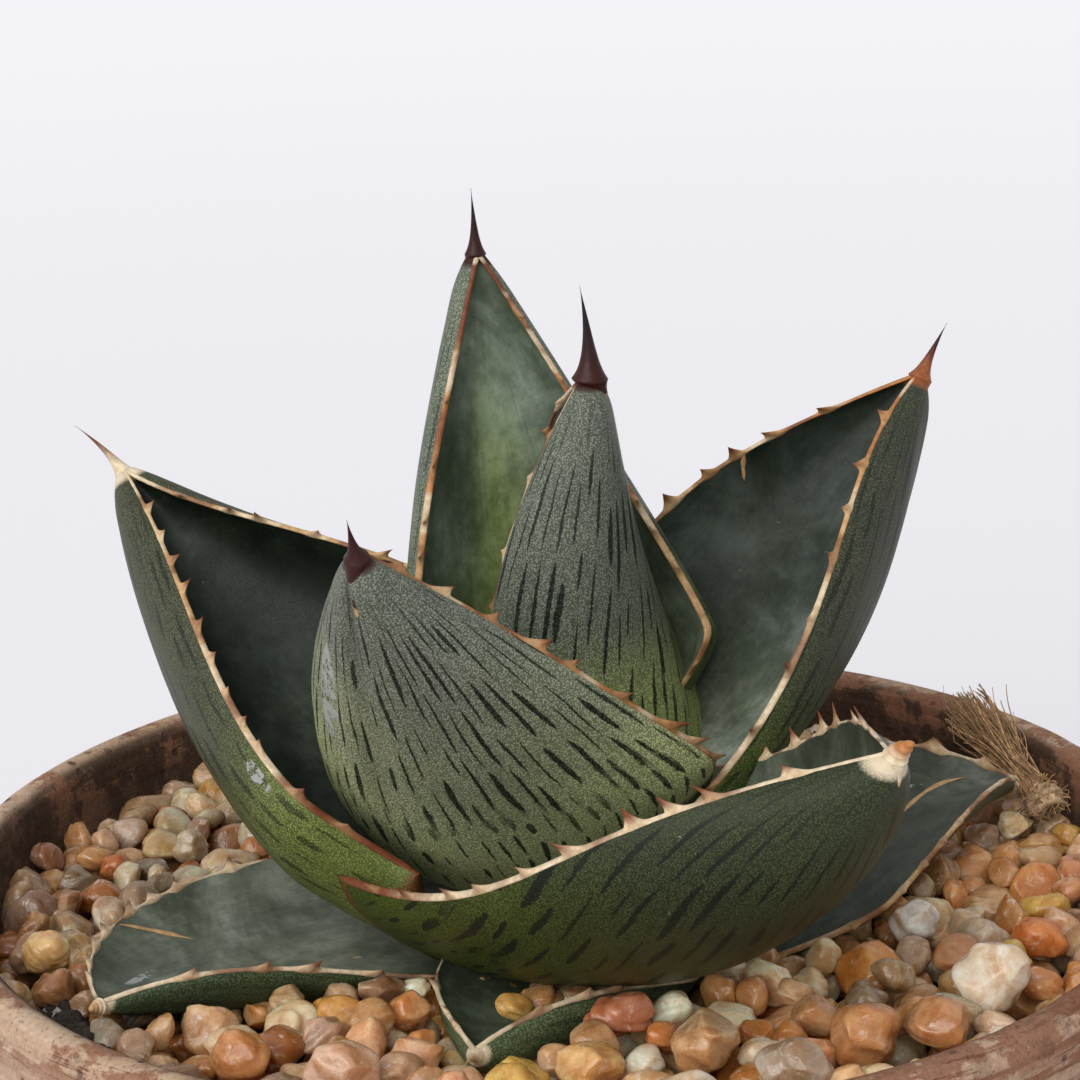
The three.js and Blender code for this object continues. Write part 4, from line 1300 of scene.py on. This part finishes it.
class AGAVE_OT_pot(bpy.types.Operator):
    """Turns the stoneware bowl with its rounded lip, foot ring and drain hole"""

    bl_idname = "agave.pot"
    bl_label = "Bowl"

    def execute(self, context):
        lip = WALL / 2
        lip_height = POT_HEIGHT - lip
        lip_centre = float(bowl_radius(lip_height)) - lip
        foot_inside = FOOT_RADIUS - FOOT_WIDTH
        arc = [(lip_centre + lip * math.cos(a), lip_height + lip * math.sin(a))
               for a in np.linspace(0, math.pi, 25)[1:-1]]
        profile = [
            (foot_inside + 0.8, 0.0), (FOOT_RADIUS - 2.0, 0.0), (FOOT_RADIUS - 0.6, 0.4),
            (FOOT_RADIUS - 0.1, 1.4), *wall_profile(FOOT_HEIGHT, lip_height, 0, 90), *arc,
            *wall_profile(FLOOR_TOP, lip_height, WALL, 50)[::-1],
            (DRAIN_RADIUS + 1.0, FLOOR_TOP), (DRAIN_RADIUS, FLOOR_TOP - 1.0),
            (DRAIN_RADIUS, FOOT_HEIGHT + 0.8), (DRAIN_RADIUS + 0.8, FOOT_HEIGHT),
            (foot_inside - 0.8, FOOT_HEIGHT), (foot_inside, FOOT_HEIGHT - 0.8),
            (foot_inside, 0.8)]
        profile = np.array(profile)[::-1]
        steps = context.scene.agave_pot.segments
        angle = np.arange(steps) * 2 * np.pi / steps
        radius, height = profile[:, 0][None], profile[:, 1][None]
        dents = self.wobble(angle[:, None], height)
        x = (radius + dents) * np.cos(angle)[:, None]
        y = (radius + dents) * np.sin(angle)[:, None]
        z = height + 0 * x - self.chips(angle[:, None], height)
        points = np.stack([x, y, z], -1)
        inner = ease(bowl_radius(height) - radius, WALL * 0.62, WALL * 0.9) * ease(height, 8, 14)
        rim = ease(height, POT_HEIGHT - 9, POT_HEIGHT - 2)
        front_right = ease(np.cos(angle[:, None] - math.radians(-58)), 0.62, 0.93)
        shape = Shape()
        shape.add(points, grid(steps, len(profile), True, True),
                  inside=(inner + 0 * x).ravel(), rim=(rim + 0 * x).ravel(),
                  ruddy=(front_right * ease(height, 40, 60) + 0 * x).ravel())
        settle(shape.build("stoneware_bowl", shared("Stoneware", stoneware)), "stoneware", "pot")
        return {"FINISHED"}

    @staticmethod
    def wobble(angle, height):
        """Turning lines and the small unevenness of a hand-finished bowl."""
        lines = 0.10 * np.sin(height * 2.9 + 0.6 * np.sin(angle)) + 0.06 * np.sin(height * 6.7)
        lean = 0.16 * waves(3, angle * 30, height + 0 * angle, 40.0) - 0.26
        return (lines + lean) * ease(height, 5, 12) - 0.04

    @staticmethod
    def chips(angle, height):
        """Small nicks along the lip."""
        rng = np.random.default_rng(12)
        depth = 0.0
        for _ in range(CHIPS):
            at, size = rng.uniform(0, 2 * np.pi), rng.uniform(0.010, 0.030)
            gap = np.abs(np.angle(np.exp(1j * (angle - at)))) / size
            depth = depth + rng.uniform(0.1, 0.45) * np.exp(-gap ** 2)
        depth = depth * ease(height, POT_HEIGHT - 1.6, POT_HEIGHT - 0.2)
        return depth + 0.02 * ease(height, 60, POT_HEIGHT)


class AGAVE_OT_soil(bpy.types.Operator):
    """Fills the bowl with crumbly potting mix"""

    bl_idname = "agave.soil"
    bl_label = "Soil"

    def execute(self, context):
        rings, steps = 110, 220
        share = np.linspace(0, 1, rings)[:, None]
        angle = (np.arange(steps) * 2 * np.pi / steps)[None]
        reach = bowl_radius(SOIL_TOP + 5) - WALL - 0.4
        x, y = share * reach * np.cos(angle), share * reach * np.sin(angle)
        crumbs = 0.35 * waves(7, x, y, 2.2, 9) + 0.3 * waves(8, x, y, 4.5, 7)
        top = np.stack([x, y, soil_height(x, y) - 1.2 + crumbs], -1)
        low = np.linspace(SOIL_TOP, FLOOR_TOP + 0.4, 16)[:, None]
        side_radius = bowl_radius(low) - WALL - 0.5
        side = np.stack([side_radius * np.cos(angle), side_radius * np.sin(angle),
                         low + 0 * angle], -1)
        floor_share = np.linspace(1, 0, 20)[1:, None]
        floor_radius = (bowl_radius(FLOOR_TOP) - WALL - 0.5) * floor_share
        dome = 6 * ease(-floor_radius, -(DRAIN_RADIUS + 2.5), -DRAIN_RADIUS * 0.3)
        floor = np.stack([floor_radius * np.cos(angle), floor_radius * np.sin(angle),
                          FLOOR_TOP + 0.4 + dome + 0 * angle], -1)
        points = np.concatenate([top, side, floor])
        shape = Shape()
        shape.add(points, grid(len(points), steps), pale=np.zeros(points.size // 3))
        self.crumbs(shape)
        settle(shape.build("potting_mix", shared("Potting mix", humus)), "soil", "potting_soil")
        return {"FINISHED"}

    @staticmethod
    def crumbs(shape):
        """Bark crumbs and pale grains where the soil shows."""
        rng = np.random.default_rng(15)
        points, faces = ball(2)
        for _ in range(CRUMBS):
            out, angle = rng.uniform(71, 83.5), math.radians(rng.uniform(197, 222))
            x, y = out * math.cos(angle), out * math.sin(angle)
            pale = float(rng.random() < 0.28)
            radius = rng.uniform(0.25, 0.6) if pale else rng.uniform(0.35, 1.3)
            body = worn(points, rng, 6) * radius * rng.uniform(0.6, 1.3, 3)
            shape.add(body + (x, y, soil_height(x, y) - 0.9 + rng.uniform(0, 1.0)), faces,
                      pale=np.full(len(points), pale))


class AGAVE_OT_rootstock(bpy.types.Operator):
    """Grows the short ringed stem and its roots"""

    bl_idname = "agave.rootstock"
    bl_label = "Stem and roots"

    def execute(self, context):
        shape = Shape()
        height = np.linspace(STEM[0][0], STEM[-1][0], 90)
        radius = np.interp(height, *zip(*STEM))
        centres = np.stack([0 * height, 0 * height, height], -1)
        side = np.tile([1.0, 0, 0], (len(height), 1))
        top = np.tile([0, 1.0, 0], (len(height), 1))
        rings = ring_points(centres, side, top, radius, 48)
        angle = np.arctan2(rings[..., 1], rings[..., 0])
        scars = 0.35 * np.sin(height[:, None] * 2.4 + 2 * angle) + 0.2 * np.sin(9 * angle)
        rings = rings + unit(rings - centres[:, None]) * (scars * 0.6 - 0.3)[..., None]
        shape.add(rings, capped(len(height), 48))
        rng = np.random.default_rng(5)
        for k in range(ROOTS):
            heading = k * 2 * math.pi / ROOTS
            t = np.linspace(0, 1, 60)
            sway = 2.0 * np.sin(t * rng.uniform(4, 7) + rng.uniform(0, 6)) * t * (1 - t)
            out = np.array([math.cos(heading), math.sin(heading), 0])
            across = np.array([-out[1], out[0], 0])
            route = out * (37 * t)[:, None] + across * sway[:, None]
            route = route + UP * (40 - 17 * t ** 2)[:, None]
            side, top = across_route(route)
            radii = (2.1 - 1.4 * t) * (1 + 0.08 * np.sin(30 * t + k))
            rings = ring_points(route, side, top, radii, 14)
            shape.add(rings, capped(len(t), 14))
        settle(shape.build("stem_and_roots", shared("Stem bark", bark)), "stem", "rootstock")
        return {"FINISHED"}


class AGAVE_OT_jute(bpy.types.Operator):
    """Stands a scrap of frayed jute cord against the inside of the rim"""

    bl_idname = "agave.jute"
    bl_label = "Jute tuft"

    def execute(self, context):
        rng = np.random.default_rng(77)
        shape = Shape()
        corners = np.array(JUTE_ROUTE, float)
        low, high = (np.array(corner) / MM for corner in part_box("jute_tuft"))
        neck = corners[2]
        flare = unit(corners[3] - corners[2])
        t = np.linspace(0, 1, 12)
        for k in range(BRUSH_FIBRES):
            wild = k % 9 == 0
            splay = rng.normal(0, 1, 3) * (1.9, 1.7, 1.7) * (1.7 if wild else 1.0)
            start = neck + rng.normal(0, 0.75, 3) - flare * 2.0
            end = corners[3] + splay + flare * rng.uniform(-5.0, 2.5)
            middle = (start + end) / 2 + splay * 0.05 + (0, 0, 0.6)
            route = bezier(start, middle, end, t)
            curl = np.sin(t[:, None] * rng.uniform(3, 9, 3) + rng.uniform(0, 6, 3)) * t[:, None]
            self.fibre(shape, np.clip(route + curl * 0.7, low + 0.2, high - 0.2), rng)
        for _ in range(KNOT_FIBRES):
            centre = corners[1] + rng.normal(0, 0.9, 3)
            spread = unit(rng.normal(0, 1, 3)) * rng.uniform(2.0, 4.2)
            bent = np.cross(spread, unit(rng.normal(0, 1, 3))) * 0.5
            route = bezier(centre, centre + spread * 0.6 + bent, centre + spread, t)
            self.fibre(shape, np.clip(route, low + 0.2, high - 0.2), rng)
        self.knot(shape, corners, rng)
        settle(shape.build("jute_fibres", shared("Jute", bast)), "jute", "jute_tuft")
        return {"FINISHED"}

    @staticmethod
    def fibre(shape, route, rng):
        """Adds one tapering fibre along a route."""
        side, top = across_route(route)
        radii = rng.uniform(0.09, 0.20) * np.linspace(1, 0.5, len(route))
        tint = np.array([0.54, 0.32, 0.15]) * rng.uniform(0.45, 1.25)
        shape.add(ring_points(route, side, top, radii, 4), capped(len(route), 4), tint=tint)

    @staticmethod
    def knot(shape, corners, rng):
        """Loops of twisted yarn round the neck of the brush."""
        turn = np.linspace(0, 2 * np.pi, 48, endpoint=False)
        for _ in range(KNOT_LOOPS):
            axis = unit(corners[2] - corners[0] + rng.normal(0, 2.2, 3))
            side = unit(np.cross(axis, UP))
            top = np.cross(axis, side)
            centre = corners[1] + axis * rng.uniform(-1.6, 1.6)
            wide = rng.uniform(1.6, 2.8)
            for strand in range(3):
                twist = 9 * turn + strand * 2.1
                loop = (centre + (wide + 0.35 * np.cos(twist))[:, None]
                        * (np.cos(turn)[:, None] * side + np.sin(turn)[:, None] * top)
                        + (0.35 * np.sin(twist))[:, None] * axis)
                ahead = unit(np.roll(loop, -1, 0) - np.roll(loop, 1, 0))
                across = unit(np.cross(ahead, axis))
                above = np.cross(ahead, across)
                tint = np.array([0.56, 0.385, 0.23]) * rng.uniform(0.7, 1.1)
                shape.add(ring_points(loop, across, above, 0.42, 8),
                          grid(48, 8, True, True), tint=tint)


# ---- stage -----------------------------------------------------------------------------


FLOOR_GAP = 0.05         # mm under the foot
AIM = (-1.235, 0, 113.88)


class AGAVE_OT_stage(bpy.types.Operator):
    """Sets the pale floor, the soft studio light and the camera"""

    bl_idname = "agave.stage"
    bl_label = "Stage"

    def execute(self, context):
        scene = context.scene
        stage = scene.agave_stage
        shape = Shape()
        steps = 96
        angle = np.arange(steps) * 2 * np.pi / steps
        radii = np.array([0.001, 200, 800, 2500, 9000])[:, None]
        points = np.stack([radii * np.cos(angle), radii * np.sin(angle),
                           0 * radii * angle - FLOOR_GAP], -1)
        shape.add(points, grid(len(radii), steps)[:, ::-1])
        shape.build("studio_floor", shared("Studio floor", paper))
        self.lights(scene, stage)
        self.camera(scene, stage)
        return {"FINISHED"}

    @staticmethod
    def lights(scene, stage):
        """A pale sky and one broad overhead light."""
        world = bpy.data.worlds.new("studio_sky")
        world.use_nodes = True
        sky = world.node_tree.nodes["Background"]
        sky.inputs["Color"].default_value = (0.97, 0.98, 1.0, 1.0)
        sky.inputs["Strength"].default_value = stage.sky_power
        scene.world = world
        key = bpy.data.lights.new("overhead_softbox", "SUN")
        key.energy = stage.key_power
        key.angle = math.radians(55)
        key.color = (1.0, 0.985, 0.965)
        lamp = bpy.data.objects.new("overhead_softbox", key)
        lamp.rotation_euler = (math.radians(44), math.radians(-38), 0)
        scene.collection.objects.link(lamp)
        scene.view_settings.view_transform = "Standard"
        scene.view_settings.look = "None"

    @staticmethod
    def camera(scene, stage):
        """A camera that looks down at the plant from the front."""
        ahead = Vector((0, math.cos(stage.tilt), -math.sin(stage.tilt)))
        right = Vector((1, 0, 0))
        above = right.cross(ahead)
        turn = stage.roll
        side = right * math.cos(turn) + above * math.sin(turn)
        top = -right * math.sin(turn) + above * math.cos(turn)
        place = Vector(AIM) * MM - ahead * stage.distance
        data = bpy.data.cameras.new("studio_camera")
        data.lens = stage.lens
        data.sensor_width = 36.0
        data.clip_start = 0.01
        view = bpy.data.objects.new("studio_camera", data)
        turned = Matrix((side, top, -ahead)).transposed().to_4x4()
        view.matrix_world = Matrix.Translation(place) @ turned
        scene.collection.objects.link(view)
        scene.camera = view


# ---- add-on ----------------------------------------------------------------------------


class AGAVE_PT_panel(bpy.types.Panel):
    """Lists the steps that build the potted agave"""

    bl_label = "Potted agave"
    bl_idname = "AGAVE_PT_panel"
    bl_space_type = "VIEW_3D"
    bl_region_type = "UI"
    bl_category = "Agave"

    def draw(self, context):
        for operator in OPERATORS:
            self.layout.operator(operator.bl_idname)
        for group in SETTINGS:
            settings = getattr(context.scene, group)
            for key in settings.__annotations__:
                self.layout.prop(settings, key)


OPERATORS = (AGAVE_OT_pot, AGAVE_OT_soil, AGAVE_OT_rootstock, AGAVE_OT_leaves,
             AGAVE_OT_gravel, AGAVE_OT_jute, AGAVE_OT_stage)
SETTINGS = {"agave_leaves": AgaveLeafSettings, "agave_gravel": AgaveGravelSettings,
            "agave_pot": AgavePotSettings, "agave_stage": AgaveStageSettings}


def register():
    for group in SETTINGS.values():
        bpy.utils.register_class(group)
    for name, group in SETTINGS.items():
        setattr(bpy.types.Scene, name, PointerProperty(type=group))
    for operator in OPERATORS:
        bpy.utils.register_class(operator)
    bpy.utils.register_class(AGAVE_PT_panel)


def unregister():
    bpy.utils.unregister_class(AGAVE_PT_panel)
    for operator in reversed(OPERATORS):
        bpy.utils.unregister_class(operator)
    for name, group in SETTINGS.items():
        delattr(bpy.types.Scene, name)
        bpy.utils.unregister_class(group)


def main():
    register()
    bpy.ops.agave.pot()
    bpy.ops.agave.soil()
    bpy.ops.agave.rootstock()
    bpy.ops.agave.leaves()
    bpy.ops.agave.gravel()
    bpy.ops.agave.jute()
    bpy.ops.agave.stage()


if __name__ == "__main__":
    main()
